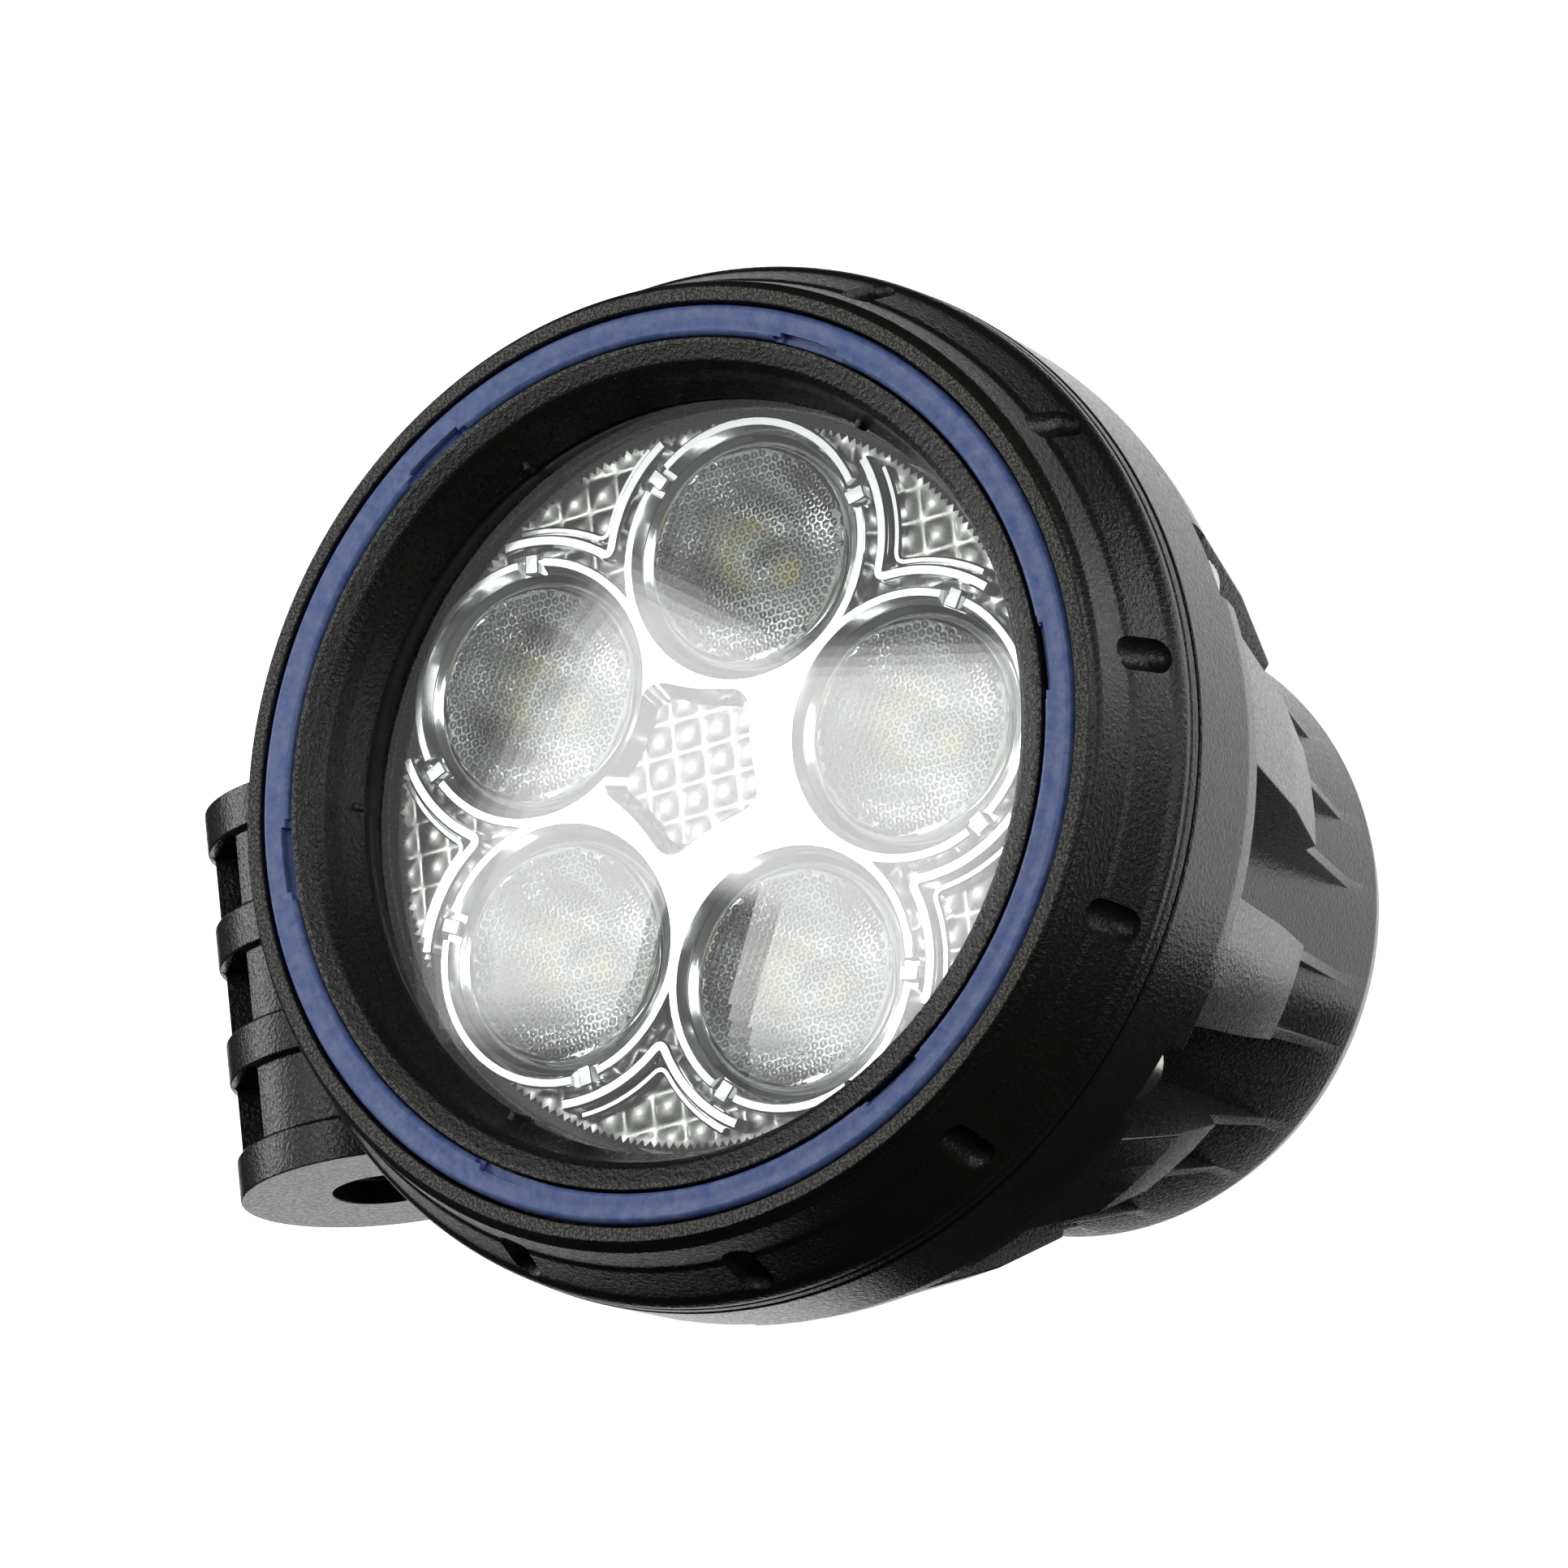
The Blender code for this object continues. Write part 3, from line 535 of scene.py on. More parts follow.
CAD_FINISHES = {
    "rubber": RUBBER, "board": BOARD, "thermal_pad": PAD, "aluminium": ALUMINIUM,
    "stainless": STEEL, "driver": DRIVER, "copper": COPPER, "capacitor": CAN,
    "phosphor": PHOSPHOR, "gland": NYLON, "sleeve": ACETAL, "housing": HOUSING,
}


def dress_cad_nodes():
    """Give every CAD node that stays its material, from its slot in the record."""
    for row in frame["record"]["subparts"]:
        finish = CAD_FINISHES.get(row["material_slot"])
        if finish:
            node = frame["nodes"][row["node"]]
            node.data.materials.clear()
            node.data.materials.append(finish)
            node.data.shade_smooth()
            node.data.set_sharp_from_angle(angle=math.radians(SHARP))


# ---- front end -------------------------------------------------------------------------
def bezel_profile():
    """From the inner lip: ring groove, outer lip and cone, seat of the glass, and funnel."""
    floor = LAMP_TOP - 2.7
    return [
        (41.3, 94.3), (41.8, 94.3), (41.8, floor), (45.4, floor), (45.4, 94.35), (46.9, 94.4),
        (47.2, 93.6), (47.7, 93.2), (48.55, 89.4), (48.95, 88.9), (50.75, 84.6), (51.3, 83.9),
        (51.55, 83.3), (51.5, 82.5), (51.35, 82.42), (51.35, 82.24), (51.55, 82.15),
        (BEZEL_OUTER, BEZEL_REAR), (GLASS_RADIUS + 0.4, BEZEL_REAR),
        (GLASS_RADIUS + 0.4, GLASS_TOP + 0.3), (37.2, GLASS_TOP + 0.3), (37.5, 88.7), (38.4, 90.9),
        (38.9, 93.0), (39.6, 93.9),
    ]


def capsule(radius, length):
    """A round-ended rod that stands on its lower end, along Z."""
    low = arc((0.0, radius), radius, -math.pi / 2, 0.0, 8)
    high = arc((0.0, length - radius), radius, 0.0, math.pi / 2, 8)
    profile = [(0.0, 0.0), *low[1:], *high[:-1], (0.0, length)]
    return lathe(profile, 28, closed=False)


def bezel_grooves():
    """Twelve round-ended rods that lie in the outer cone and cut its grip grooves."""
    cone = math.radians(24.6)
    foot = Matrix.Translation((51.25, 0.0, 84.5))
    rods = []
    for index in range(12):
        shape = moved(capsule(1.75, 6.8), Matrix.Rotation(-cone, 4, "Y"))
        rods.append(turned(moved(shape, foot), math.radians(30.0 * index)))
    return gathered(rods)


def bezel_ribs():
    """Six small ribs in the funnel, just above the glass."""
    ribs = []
    for index in range(6):
        rib = box((37.0, -0.35, GLASS_TOP + 0.35), (38.9, 0.35, GLASS_TOP + 1.9), 0.12)
        ribs.append(turned(rib, math.radians(22.0 + 60.0 * index)))
    return gathered(ribs)


def build_bezel():
    shape = combined(lathe(eased(bezel_profile(), 0.25)), bezel_grooves())
    shape = combined(shape, bezel_ribs(), "UNION")
    piece("bezel_ring", shape, BEZEL, HEAD, ["front_bezel"], 34.0)
    # thin caps over the two lips carry the painted sparkle highlights
    depth = 0.3
    lips = []
    for inner, outer, top in ((45.5, 46.85, 94.47), (41.25, 41.8, 94.4)):
        cap = [(inner, top - depth), (inner, top), (outer, top), (outer, top - depth)]
        lips.append(lathe(eased(cap, 0.12)))
    piece("bezel_lip_grain_and_glints", gathered(lips), LIP, HEAD)


def build_trim_ring():
    """Blue ring with six stepped notches on its inner edge."""
    inner, outer = 42.1, RING_OUTER
    foot, shoulder, above = LAMP_TOP - 2.4, 94.1, 96.0
    profile = [
        (inner, foot), (inner, shoulder), (inner + 0.35, LAMP_TOP - 0.02),
        (43.6, LAMP_TOP - 0.12), (outer - 0.35, LAMP_TOP), (outer, shoulder), (outer, foot),
    ]
    shape = lathe(eased(profile, 0.3))
    for index in range(6):
        middle = math.radians(30.0 + 60.0 * index)
        for reach, half, floor in ((0.85, 4.5, LAMP_TOP - 1.3), (0.4, 5.6, LAMP_TOP - 0.8)):
            near, far = inner - 1.0, inner + reach
            outline = [(near, floor), (near, above), (far, above), (far, floor)]
            shape = combined(shape, sector(outline, middle, math.radians(half), 6))
    piece("trim_ring", shape, TRIM, "colour_ring", ["colour_ring"])


def build_window():
    profile = [
        (0.0, GLASS_TOP), (GLASS_RADIUS, GLASS_TOP),
        (GLASS_RADIUS, GLASS_BOTTOM), (0.0, GLASS_BOTTOM),
    ]
    shape = lathe(eased(profile, 0.4, closed=False), MEDIUM * 2, closed=False)
    piece("window_pane", shape, WINDOW, HEAD, ["window_glass"])


# ---- lens carrier ----------------------------------------------------------------------
def petal_outline(radius, steps=40):
    """The joined outline of five discs round the lenses."""
    half_turn = math.pi / LENS_COUNT
    along, across = LENS_CIRCLE * math.cos(half_turn), LENS_CIRCLE * math.sin(half_turn)
    notch = along + math.sqrt(radius ** 2 - across ** 2)
    reach = math.atan2(notch * math.sin(half_turn), notch * math.cos(half_turn) - LENS_CIRCLE)
    outline = []
    for angle in LENS_ANGLES:
        centre = on_circle(LENS_CIRCLE, angle)[:2]
        outline += arc(centre, radius, angle - reach, angle + reach, steps)[:-1]
    return outline


STAR_CENTRE = (-2.0, -2.1)
STAR_RADII = (10.4, 7.7)      # out to a tip and out to the corner between two tips
QUILT_PITCH = 3.3
QUILT_SHIFT = (0.6, 0.9)      # of the quilt's seams from the lamp's axis


def star_outline():
    tip, corner = STAR_RADII
    points = []
    for middle in GAP_ANGLES:
        for offset, radius in ((0.0, tip), (math.pi / LENS_COUNT, corner)):
            spot = on_circle(radius, middle + offset)
            points.append((STAR_CENTRE[0] + spot.x, STAR_CENTRE[1] + spot.y))
    return eased(points, 2.6, steps=6)


def pillow(x, y):
    """Height of the quilt of square pillows above its seams."""
    rise = 1.0
    for value in (x + QUILT_SHIFT[0], y + QUILT_SHIFT[1]):
        across = (value / QUILT_PITCH) % 1.0
        rise *= 1.0 - (2 * across - 1) ** 2
    return 0.34 * rise


def sheet(rim, points, height_of):
    """A surface of triangles over a rim loop and the points inside it, and its vertices."""
    flat = [Vector(point) for point in rim + points]
    edges = [(index, (index + 1) % len(rim)) for index in range(len(rim))]
    spots, _, faces, _, _, _ = delaunay_2d_cdt(flat, edges, [], 1, 1e-6)
    bm = bmesh.new()
    verts = [bm.verts.new((spot.x, spot.y, height_of(spot.x, spot.y))) for spot in spots]
    for corners in faces:
        bm.faces.new([verts[index] for index in corners])
    return bm, verts


def thickened(bm, bottom):
    """Draw the border of a sheet straight down and close it with a flat bottom."""
    border = [edge for edge in bm.edges if edge.is_boundary]
    made = bmesh.ops.extrude_edge_only(bm, edges=border)["geom"]
    for vert in (item for item in made if isinstance(item, bmesh.types.BMVert)):
        vert.co.z = bottom
    lower = [edge for edge in bm.edges if edge.is_boundary]
    bmesh.ops.contextual_create(bm, geom=lower)
    bmesh.ops.recalc_face_normals(bm, faces=bm.faces)
    return bm


def build_carrier_plate():
    """Quilted reflector plate with a toothed rim and a hole under each lens."""
    teeth = 250
    root, crest = CARRIER_RADIUS - 0.75, CARRIER_RADIUS - 0.1
    rim = []
    for index in range(teeth):
        angle = 2 * math.pi * index / teeth
        rim.append(tuple(on_circle(root, angle)[:2]))
        rim.append(tuple(on_circle(crest, angle + math.pi / teeth)[:2]))
    step = QUILT_PITCH / 10
    count = int(CARRIER_RADIUS / step)
    points = []
    for column in range(-count, count):
        for row in range(-count, count):
            x, y = column * step - QUILT_SHIFT[0], row * step - QUILT_SHIFT[1]
            if math.hypot(x, y) < CARRIER_RADIUS - 1.1:
                points.append((x, y))
    seam = CARRIER_TOP - 2.3
    surface, _ = sheet(rim, points, lambda x, y: seam + pillow(x, y))
    shape = thickened(surface, CARRIER_TOP - 5.0)
    holes = [at_lens(rod(11.2, 78.0, 86.0, MEDIUM), angle) for angle in LENS_ANGLES]
    shape = combined(shape, gathered(holes))
    piece("carrier_plate", shape, QUILT, HEAD, ["lens_carrier"], 40.0)


def build_carrier_flower():
    """Raised web with a stepped cup round each lens, clip gaps and the star recess."""
    shape = prism(petal_outline(PETAL_RADIUS), CARRIER_TOP - 2.6, CARRIER_TOP, 0.22)
    above = 86.0
    cup = [
        (0.0, 80.0), (11.1, 80.0), (11.1, 82.9), (11.45, 83.15), (11.9, 83.3), (12.05, 83.45),
        (12.55, 84.25), (12.75, 84.6), (12.75, above), (0.0, above),
    ]
    for angle in LENS_ANGLES:
        shape = combined(shape, at_lens(lathe(cup, MEDIUM, closed=False), angle))
    star = prism(star_outline(), CARRIER_TOP - 3.2, CARRIER_TOP + 0.6, 0.0, (STAR_CENTRE, 0.72))
    shape = combined(shape, star)
    gap = [(12.0, 83.35), (14.5, 83.35), (14.5, above), (12.0, above)]
    for angle in LENS_ANGLES:
        for turn in CLIP_TURNS:
            notch = turned(sector(gap, 0.0, math.radians(6.5), 3), angle + turn)
            shape = combined(shape, at_lens(notch, angle))
    piece("carrier_flower", shape, SILVER, HEAD, (), 30.0)


def build_carrier_clips():
    """Small blocks that stand in the gaps of each petal's rim."""
    blocks = []
    for angle in LENS_ANGLES:
        for turn in CLIP_TURNS:
            block = box((12.0, -0.75, 82.6), (14.0, 0.75, 84.35), 0.18)
            blocks.append(at_lens(turned(block, angle + turn), angle))
    piece("carrier_clips", gathered(blocks), SILVER, HEAD)


def ribbon(path, section):
    """Sweep an (offset, height) section along a flat path."""
    bm = bmesh.new()
    rings = []
    for index, point in enumerate(path):
        before = Vector(path[max(index - 1, 0)])
        after = Vector(path[min(index + 1, len(path) - 1)])
        along = (after - before).normalized()
        side = Vector((-along.y, along.x))
        rings.append([
            bm.verts.new((point[0] + side.x * offset, point[1] + side.y * offset, height))
            for offset, height in section])
    return skinned(bm, rings)


def gap_path(middle, radius, reach):
    """A line that follows the two petals beside a gap, and its bend at the notch between them.

    radius is the line's distance from the lenses' axes and reach its length in degrees.
    """
    half_turn = math.pi / LENS_COUNT
    across = LENS_CIRCLE * math.sin(half_turn)
    along = LENS_CIRCLE * math.cos(half_turn) + math.sqrt(radius ** 2 - across ** 2)
    sides = []
    for turn in (1.0, -1.0):
        centre = on_circle(LENS_CIRCLE, middle + turn * half_turn)
        inner = on_circle(along, middle) - centre
        start = math.atan2(inner.y, inner.x) + turn * math.radians(5.0)
        points = arc(centre, radius, start, start + turn * math.radians(reach), 26)
        sides.append([spot for spot in points if math.hypot(*spot) < CARRIER_RADIUS - 1.4])
    ends = (on_circle(along, middle)[:2], sides[0][0], sides[1][0])
    tip, left, right = (Vector(spot) for spot in ends)
    bend = []
    for step in range(1, 6):
        t = step / 6
        bend.append(tuple(left * (1 - t) ** 2 + tip * 2 * t * (1 - t) + right * t * t))
    return sides[0][::-1] + bend + sides[1]


def build_carrier_lips():
    """Double lips in the five gaps between the petals."""
    low = CARRIER_TOP - 2.6
    lips = []
    for middle in GAP_ANGLES:
        for radius, half, drop in ((15.25, 0.62, 0.15), (16.45, 0.42, 1.1)):
            top = CARRIER_TOP - drop
            section = [
                (-half, low), (-half, top - 0.25), (-half + 0.22, top), (half - 0.22, top),
                (half, top - 0.25), (half, low),
            ]
            lips.append(ribbon(gap_path(middle, radius, 46.0), section))
    piece("carrier_lips", gathered(lips), SILVER, HEAD, (), 40.0)


# ---- lenses ----------------------------------------------------------------------------
def honeycomb_points(pitch, reach):
    """The points of hexagonal cells, each a raised border, a ring-shaped pit and a low dome.

    Each point of the plane has its height over the face.
    """
    corner = pitch / math.sqrt(3)
    found = {}
    rows = int(reach / pitch) + 2
    for row in range(-rows, rows + 1):
        for column in range(-rows, rows + 1):
            x = row * pitch * math.sqrt(3) / 2
            y = (column + 0.5 * (row % 2)) * pitch
            if math.hypot(x, y) > reach - 0.35 * pitch:
                continue
            spots = [(0.0, 0.0, 0.04)]
            for step in range(6):
                angle = math.radians(60.0 * step)
                spots.append((corner * math.cos(angle), corner * math.sin(angle), 0.03))
            for size, height in ((0.13, 0.03), (0.24, -0.03), (0.35, -0.03), (0.43, 0.03)):
                radius = size * pitch
                for step in range(8):
                    angle = math.radians(45.0 * step)
                    spots.append((radius * math.cos(angle), radius * math.sin(angle), height))
            for dx, dy, height in spots:
                if math.hypot(x + dx, y + dy) < reach:
                    found[(round(x + dx, 3), round(y + dy, 3))] = height
    return found


def lens_shape():
    """Collimator with a honeycomb face, a cone that reflects inside and a hollow over its LED."""
    heights = honeycomb_points(0.93, LENS_RADIUS - 0.35)
    angles = [2 * math.pi * step / MEDIUM for step in range(MEDIUM)]
    rim = [tuple(on_circle(LENS_RADIUS - 0.15, angle)[:2]) for angle in angles]

    def height_of(x, y):
        return LENS_FACE + heights.get((round(x, 3), round(y, 3)), 0.0)

    bm, verts = sheet(rim, list(heights), height_of)
    profile = [(LENS_RADIUS, LENS_FACE - 0.2), (LENS_RADIUS, LENS_TOP - 1.4)]
    profile += [(10.2, 81.3), (9.2, 78.6), (7.8, 75.4), (6.2, 72.2), (4.7, LENS_BOTTOM)]
    profile += [(3.4, LENS_BOTTOM), (3.1, 74.4), (2.4, 75.3)]
    previous = verts[:MEDIUM]
    for radius, height in profile:
        ring = [bm.verts.new(on_circle(radius, angle, height)) for angle in angles]
        for step in range(MEDIUM):
            following = (step + 1) % MEDIUM
            bm.faces.new((previous[step], previous[following], ring[following], ring[step]))
        previous = ring
    tip = bm.verts.new((0.0, 0.0, 75.9))
    for step in range(MEDIUM):
        bm.faces.new((previous[step], previous[(step + 1) % MEDIUM], tip))
    bmesh.ops.recalc_face_normals(bm, faces=bm.faces)
    return bm


def build_lenses():
    for number, angle in enumerate(LENS_ANGLES, 1):
        shape = at_lens(lens_shape(), angle)
        replaced = [f"collimator_lens_{number}"]
        piece(f"honeycomb_lens_{number}", shape, OPTIC, HEAD, replaced, 60.0)


# ---- rear housing ----------------------------------------------------------------------
def core_profile():
    """Up the hollow inside, over the flange and its seal groove, and down the outside."""
    groove = FLANGE_TOP - 1.4
    return [
        (0.0, 3.5), (26.6, 3.5), (29.3, 6.2), (29.3, 62.0), (36.8, 62.0), (36.8, 83.2),
        (41.1, 83.2), (41.1, FLANGE_TOP), (43.0, FLANGE_TOP), (43.0, groove), (45.0, groove),
        (45.0, FLANGE_TOP), (51.7, FLANGE_TOP), (51.2, 69.9), (50.4, 66.6), (46.0, 65.6),
        (34.0, 58.0), (32.9, 56.5), (32.0, 4.4), (30.7, 1.3), (27.6, 0.0), (0.0, 0.0),
    ]


def tab_shape():
    """One tab and its two fins, hollow between them, with rounded edges."""
    crest = [
        (30.8, 60.0), (38.2, 60.0), (38.2, 66.0), (50.35, 66.9), (44.3, 46.4), (38.4, 30.6),
        (36.7, 29.4), (31.2, 7.2), (30.4, 7.2),
    ]
    pocket = [
        (33.0, 56.0), (36.0, 59.2), (43.5, 61.5), (42.0, 46.0), (36.6, 31.0), (40.0, 20.0),
        (40.0, 5.5), (31.9, 5.5),
    ]
    block = sector(crest, 0.0, math.radians(7.5), 3)
    inside = sector(pocket, 0.0, math.radians(5.6), 3)
    return soften(combined(block, inside), 0.32)


def build_housing():
    shape = lathe(eased(core_profile(), 0.35, closed=False), FINE, closed=False, phase=0.01)
    for index in range(12):
        shape = combined(shape, turned(tab_shape(), math.radians(30.0 * index)), "UNION")
    shape = combined(shape, barrel_shape(), "UNION")
    boss = eased([(0.0, 6.0), (8.6, 6.0), (8.6, 0.0), (0.0, 0.0)], 0.4, closed=False)
    inward = along_gland(-37.0, -90.0)
    shape = combined(shape, moved(lathe(boss, SMALL, closed=False), inward), "UNION")
    shape = combined(shape, moved(rod(5.3, -1.0, 12.0, SMALL), inward))
    half, beyond = 4.15, 57.0
    for angle in SCREW_ANGLES:
        outline = arc((SCREW_CIRCLE, 0.0), half, math.pi / 2, math.pi * 1.5, 16)
        outline += [(beyond, -half), (beyond, half)]
        shape = combined(shape, turned(prism(outline, 60.0, SCREW_SEAT), angle))
    piece("housing_body", shape, HOUSING, HEAD, ["rear_housing"], 30.0)


def barrel_shape():
    """Pivot barrel with four bands, three pockets, its bore and the ribs that carry it."""
    half, waist, crest = 20.7, 14.45, 15.1
    bands = [(-half, -16.4), (-8.3, -4.0), (4.0, 8.3), (16.4, half)]
    outer = []
    for low, high in bands:
        outer += [(waist, low - 0.25), (crest, low), (crest, high), (waist, high + 0.25)]
    profile = [(BORE_RADIUS, -half), *outer[1:-1], (BORE_RADIUS, half)]
    shape = along_barrel(lathe(eased(profile, 0.22), MEDIUM))
    corner, lean = math.radians(28.0), math.radians(43.0)
    corner_y = BARREL[0] - waist * math.cos(corner)
    corner_z = BARREL[1] + waist * math.sin(corner)
    leaning = Matrix.Translation((0.0, corner_y, corner_z)) @ Matrix.Rotation(-lean, 4, "X")
    for (_, low), (high, _) in zip(bands, bands[1:]):
        pocket = moved(box((low + 0.05, -3.0, 0.0), (high - 0.05, 5.0, 9.0), 0.5), leaning)
        shape = combined(shape, pocket)
    for low, high in bands:
        shape = combined(shape, rib_shape(low + 0.1, high - 0.1), "UNION")
    return combined(shape, along_barrel(rod(BORE_RADIUS, -half - 1, half + 1, MEDIUM)))


def rib_shape(low, high):
    """One rib between two X places. The outer pair reaches further into the rounder wall."""
    root = 25.6 if abs(low + high) > 20.0 else 30.6
    outline = [
        (root, 24.0), (44.0, 28.5), (62.0, 30.95), (60.9, 60.70), (44.0, 48.4), (root, 36.5),
    ]
    rib = soften(prism(eased(outline, 0.8), low, high), 0.25, 60.0)
    return moved(rib, Matrix(((0, 0, 1, 0), (-1, 0, 0, 0), (0, 1, 0, 0), (0, 0, 0, 1))))


# ---- fasteners, gland and sleeve -------------------------------------------------------
def screw_shape():
    """Socket cap screw, head down, with a knurled head."""
    radius, height, shank = 3.5, 4.0, 2.0
    top = SCREW_SEAT - 0.3
    foot, tip = top - height, BEZEL_REAR + 5.4
    profile = [
        (0.0, tip), (shank - 0.3, tip), (shank, tip - 0.4), (shank, top), (radius - 0.15, top),
        (radius, top - 0.2), (radius, foot + 0.6), (radius - 0.12, foot + 0.45),
        (radius - 0.15, foot + 0.3), (radius - 0.5, foot), (0.0, foot),
    ]

    def knurl(size, level, step):
        ribbed = foot + 0.5 < level < top - 0.1 and size > 3.3
        return size - 0.14 * (step % 2) if ribbed else size

    shape = lathe(profile, 72, closed=False, wave=knurl)
    socket = [tuple(on_circle(1.75, math.radians(60.0 * step))[:2]) for step in range(6)]
    return combined(shape, prism(socket, foot - 1.0, foot + 2.2))


def build_screws():
    for index, angle in enumerate(SCREW_ANGLES):
        shape = turned(screw_shape(), math.radians(17.0 * index))
        moved(shape, Matrix.Translation(on_circle(SCREW_CIRCLE, angle)))
        replaced = [f"bezel_screw_{index + 1}"]
        piece(f"cap_screw_{index + 1}", shape, STEEL, HEAD, replaced)


def build_gland():
    """Gland body with a hexagon and thread, and a fluted cap nut."""
    outward = along_gland(-37.3, 90.0)
    thread = []
    for turn_index in range(5):
        start = 4.4 + 0.95 * turn_index
        thread += [(5.8, start), (5.8, start + 0.35), (5.5, start + 0.55), (5.5, start + 0.8)]
    profile = [(3.7, -9.7), (5.0, -9.7), (5.0, 2.0), *thread, (5.5, 9.0), (3.7, 9.0)]
    hexagon = lathe(eased([(3.8, 0.0), (8.6, 0.0), (8.6, 4.0), (3.8, 4.0)], 0.35), 6)
    body = moved(combined(lathe(profile, SMALL), hexagon, "UNION"), outward)
    piece("gland_threaded_body", body, NYLON, HEAD, ["gland_body"])

    def flutes(size, level, step):
        return size - 0.35 * (step % 4 in (2, 3)) if size > 6.5 and level > 5.0 else size

    outer = [(6.1, 4.3), (8.1, 4.3), (8.2, 4.9), (8.2, 8.8), (7.6, 11.0), (6.6, 14.2), (6.0, 14.8)]
    inner = [(4.0, 14.8), (4.0, 12.9), (6.1, 12.6)]
    nut = lathe(eased(outer + inner, 0.3), MEDIUM, wave=flutes)
    piece("gland_cap_nut", moved(nut, outward), NYLON, HEAD, ["gland_nut"])


def build_sleeve():
    inner, outer, half = 4.2, 5.4, 18.5
    profile = [(inner, -half), (outer, -half), (outer, half), (inner, half)]
    shape = along_barrel(lathe(eased(profile, 0.25), MEDIUM))
    piece("pivot_liner", shape, ACETAL, "pivot_sleeve", ["pivot_sleeve"])


# ---- stage, light and camera -----------------------------------------------------------
CAMERA_PLACE = (0.2864, 0.4663, 0.9384)           # in metres
VIEW_RIGHT = Vector((0.1051, 0.8612, -0.4972))
VIEW_UP = Vector((-0.9538, 0.2288, 0.1946))
VIEW_BACK = Vector((0.2813, 0.4538, 0.8455))
MIRRORED = Vector((-0.2813, -0.4538, 0.8455))     # where the window reflects the camera's view


def add_camera():
    data = bpy.data.cameras.new("camera")
    data.sensor_width = 36.0
    data.lens = 240.2
    data.clip_end = 20.0
    camera = bpy.data.objects.new("camera", data)
    bpy.context.scene.collection.objects.link(camera)
    axes = Matrix((VIEW_RIGHT, VIEW_UP, VIEW_BACK)).transposed().to_4x4()
    camera.matrix_world = Matrix.Translation(CAMERA_PLACE) @ axes
    bpy.context.scene.camera = camera


def stage_piece(name, bm, material):
    """A thing of the studio, in millimetres, that isn't part of the lamp."""
    bmesh.ops.scale(bm, vec=(MM, MM, MM), verts=bm.verts)
    mesh = bpy.data.meshes.new(name)
    bm.to_mesh(mesh)
    bm.free()
    mesh.materials.append(material)
    item = bpy.data.objects.new(name, mesh)
    bpy.context.scene.collection.objects.link(item)
    return item


STUDIO = 3000.0               # radius of the floor and height of the wall round it
FLAG_EDGE = 130.0             # the floor lights the lamp only within this radius
CARD_DISTANCE = 320.0         # from the window to the first veil card
VEIL_CENTRE = (2.0, 3.0)
VEIL_LAYERS = ((0.86, 8.6), (0.93, 7.2), (1.0, 5.4), (1.07, 3.6), (1.14, 1.8))
VEIL_OUTLINE = (              # across and along the card
    (-20, -21), (-18, 4), (-29, 30), (-10, 37), (10, 38), (25, 34), (31, 14), (12, 12), (13, 3),
    (17, -3), (33, -1), (41, -20), (27, -27), (7, -25), (-10, -24),
)


def add_floor():
    """A pale glowing floor that rises into a wall far behind the lamp."""
    finish = Finish("floor_paper", (0.9, 0.9, 0.9), 0.6)
    finish.tint(finish.noise(3.0, 2.0), [(0.3, (0.90, 0.90, 0.90)), (0.7, (0.94, 0.94, 0.94))])
    finish.set("Emission Color", (1.0, 1.0, 1.0, 1.0))
    finish.set("Emission Strength", 1.0)
    bowl = lathe([(0.0, -0.2), (STUDIO, -0.2), (STUDIO, STUDIO)], MEDIUM, closed=False)
    stage_piece("floor", bowl, finish.material)


def add_softbox(name, centre, aim, size, power):
    """A white rectangular area light that faces a point, in metres and watts."""
    data = bpy.data.lights.new(name, "AREA")
    data.shape = "RECTANGLE"
    data.size, data.size_y = size
    data.energy = power
    light = bpy.data.objects.new(name, data)
    light.location = centre
    light.rotation_euler = (Vector(aim) - Vector(centre)).to_track_quat("-Z", "Y").to_euler()
    light.visible_camera = False
    bpy.context.scene.collection.objects.link(light)


def add_glow_card(name, centre, facing, outline, strength):
    """A flat glowing card of the given outline about its centre, seen only in reflections."""
    across = Vector((0.0, 0.0, 1.0)).cross(facing).normalized()
    along = facing.cross(across)
    bm = bmesh.new()
    bm.faces.new([bm.verts.new(centre + across * x + along * y) for x, y in outline])
    material = bpy.data.materials.new(name)
    material.use_nodes = True
    nodes = material.node_tree.nodes
    nodes.remove(nodes["Principled BSDF"])
    glow = nodes.new("ShaderNodeEmission")
    glow.inputs["Strength"].default_value = strength
    surface = nodes["Material Output"].inputs["Surface"]
    material.node_tree.links.new(glow.outputs["Emission"], surface)
    stage_piece(name, bm, material).visible_camera = False


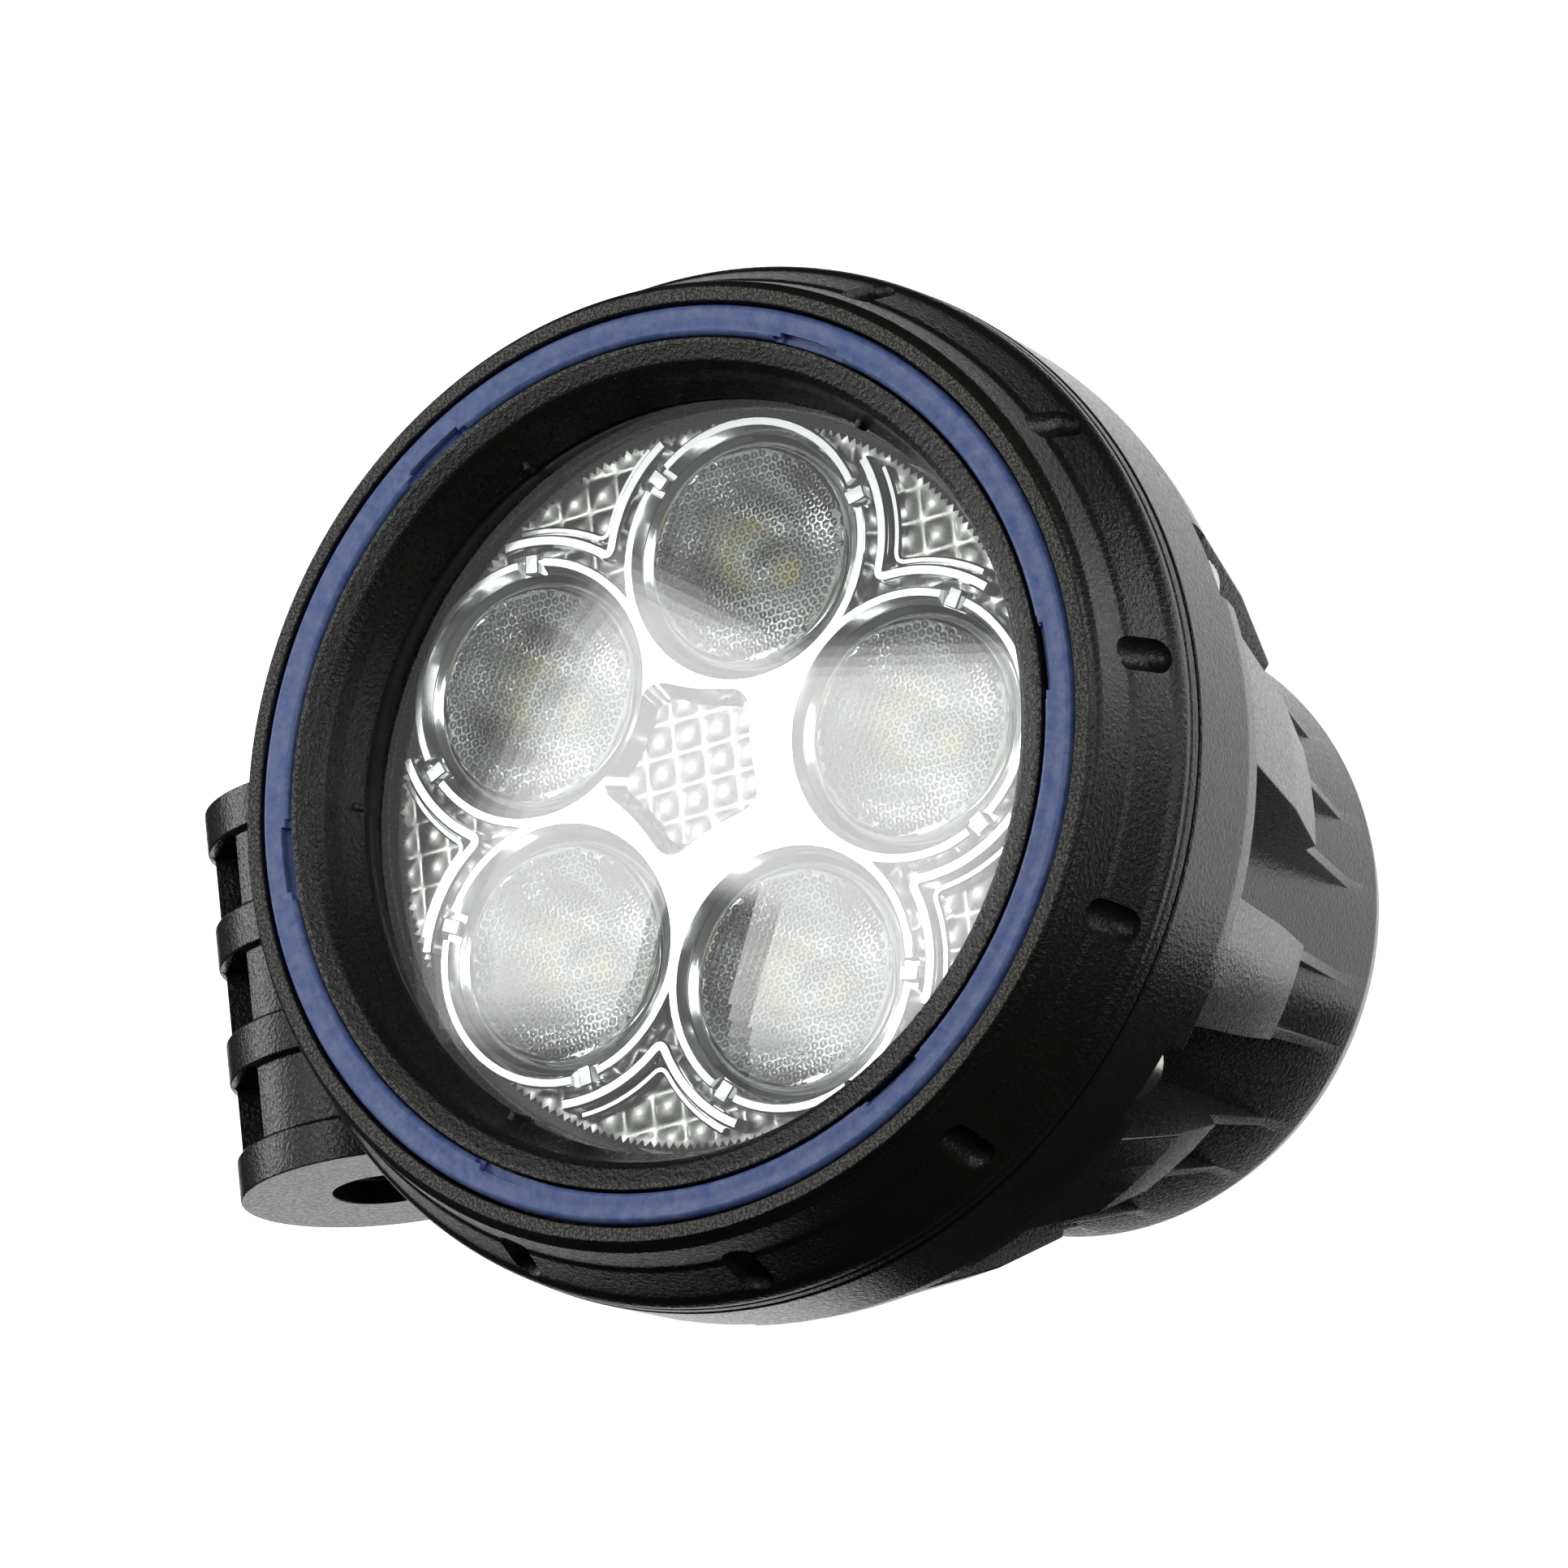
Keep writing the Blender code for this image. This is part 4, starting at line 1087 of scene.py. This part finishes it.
def add_flag():
    """Dark cards before the floor and wall, seen only in reflections: they keep the lamp black."""
    near, low, high = 34.0, 0.5, 0.6
    far = STUDIO - 20.0
    outline = [(near, low), (FLAG_EDGE, low), (FLAG_EDGE, high), (near, high)]
    quiet_side = sector(outline, math.radians(19.0), math.radians(43.0), 12)
    outskirts = lathe([(FLAG_EDGE, low), (far, low), (far, STUDIO)], MEDIUM, closed=False)
    cloth = Finish("flag_cloth", (0.05, 0.05, 0.05), 0.9).material
    stage_piece("flag", gathered([quiet_side, outskirts]), cloth).visible_camera = False


def add_veil():
    """Stacked cards whose soft-edged reflection veils part of the window."""
    window = Vector((0.0, 0.0, GLASS_TOP))
    middle_x, middle_y = VEIL_CENTRE
    for index, (size, strength) in enumerate(VEIL_LAYERS):
        outline = [
            (middle_x + (x - middle_x) * size, middle_y + (y - middle_y) * size)
            for x, y in VEIL_OUTLINE]
        centre = window + MIRRORED * (CARD_DISTANCE + index)
        add_glow_card(f"veil_card_{index + 1}", centre, MIRRORED, outline, strength)


def add_light():
    window = Vector((0.0, 0.0, GLASS_TOP * MM))
    add_veil()
    add_softbox("ceiling_box", window + MIRRORED * 0.75, window, (0.5, 0.5), 0.76)
    add_softbox("front_box", window + VIEW_BACK * 0.9 + VIEW_UP * 0.4, window, (0.35, 0.35), 1.6)
    add_flag()
    add_softbox("rear_box", (0.05, 0.9, 0.25), (0.0, 0.0, 0.05), (0.7, 0.3), 1.6)
    add_softbox("left_box", (-0.3, -0.8, 0.35), (0.0, -0.03, 0.05), (0.4, 0.3), 2.2)
    add_softbox("glint_box", (-0.05, 0.175, 0.004), (0.0, 0.05, 0.085), (0.08, 0.05), 0.08)
    world = bpy.data.worlds.new("studio")
    bpy.context.scene.world = world
    world.use_nodes = True
    background = world.node_tree.nodes["Background"]
    background.inputs["Color"].default_value = (1.0, 1.0, 1.0, 1.0)
    background.inputs["Strength"].default_value = 0.05
    bpy.context.scene.view_settings.view_transform = "Standard"


# ---- everything in order ---------------------------------------------------------------
add_camera()
add_floor()
add_light()
dress_cad_nodes()
build_bezel()
build_trim_ring()
build_window()
build_carrier_plate()
build_carrier_flower()
build_carrier_clips()
build_carrier_lips()
build_lenses()
build_housing()
build_screws()
build_gland()
build_sleeve()
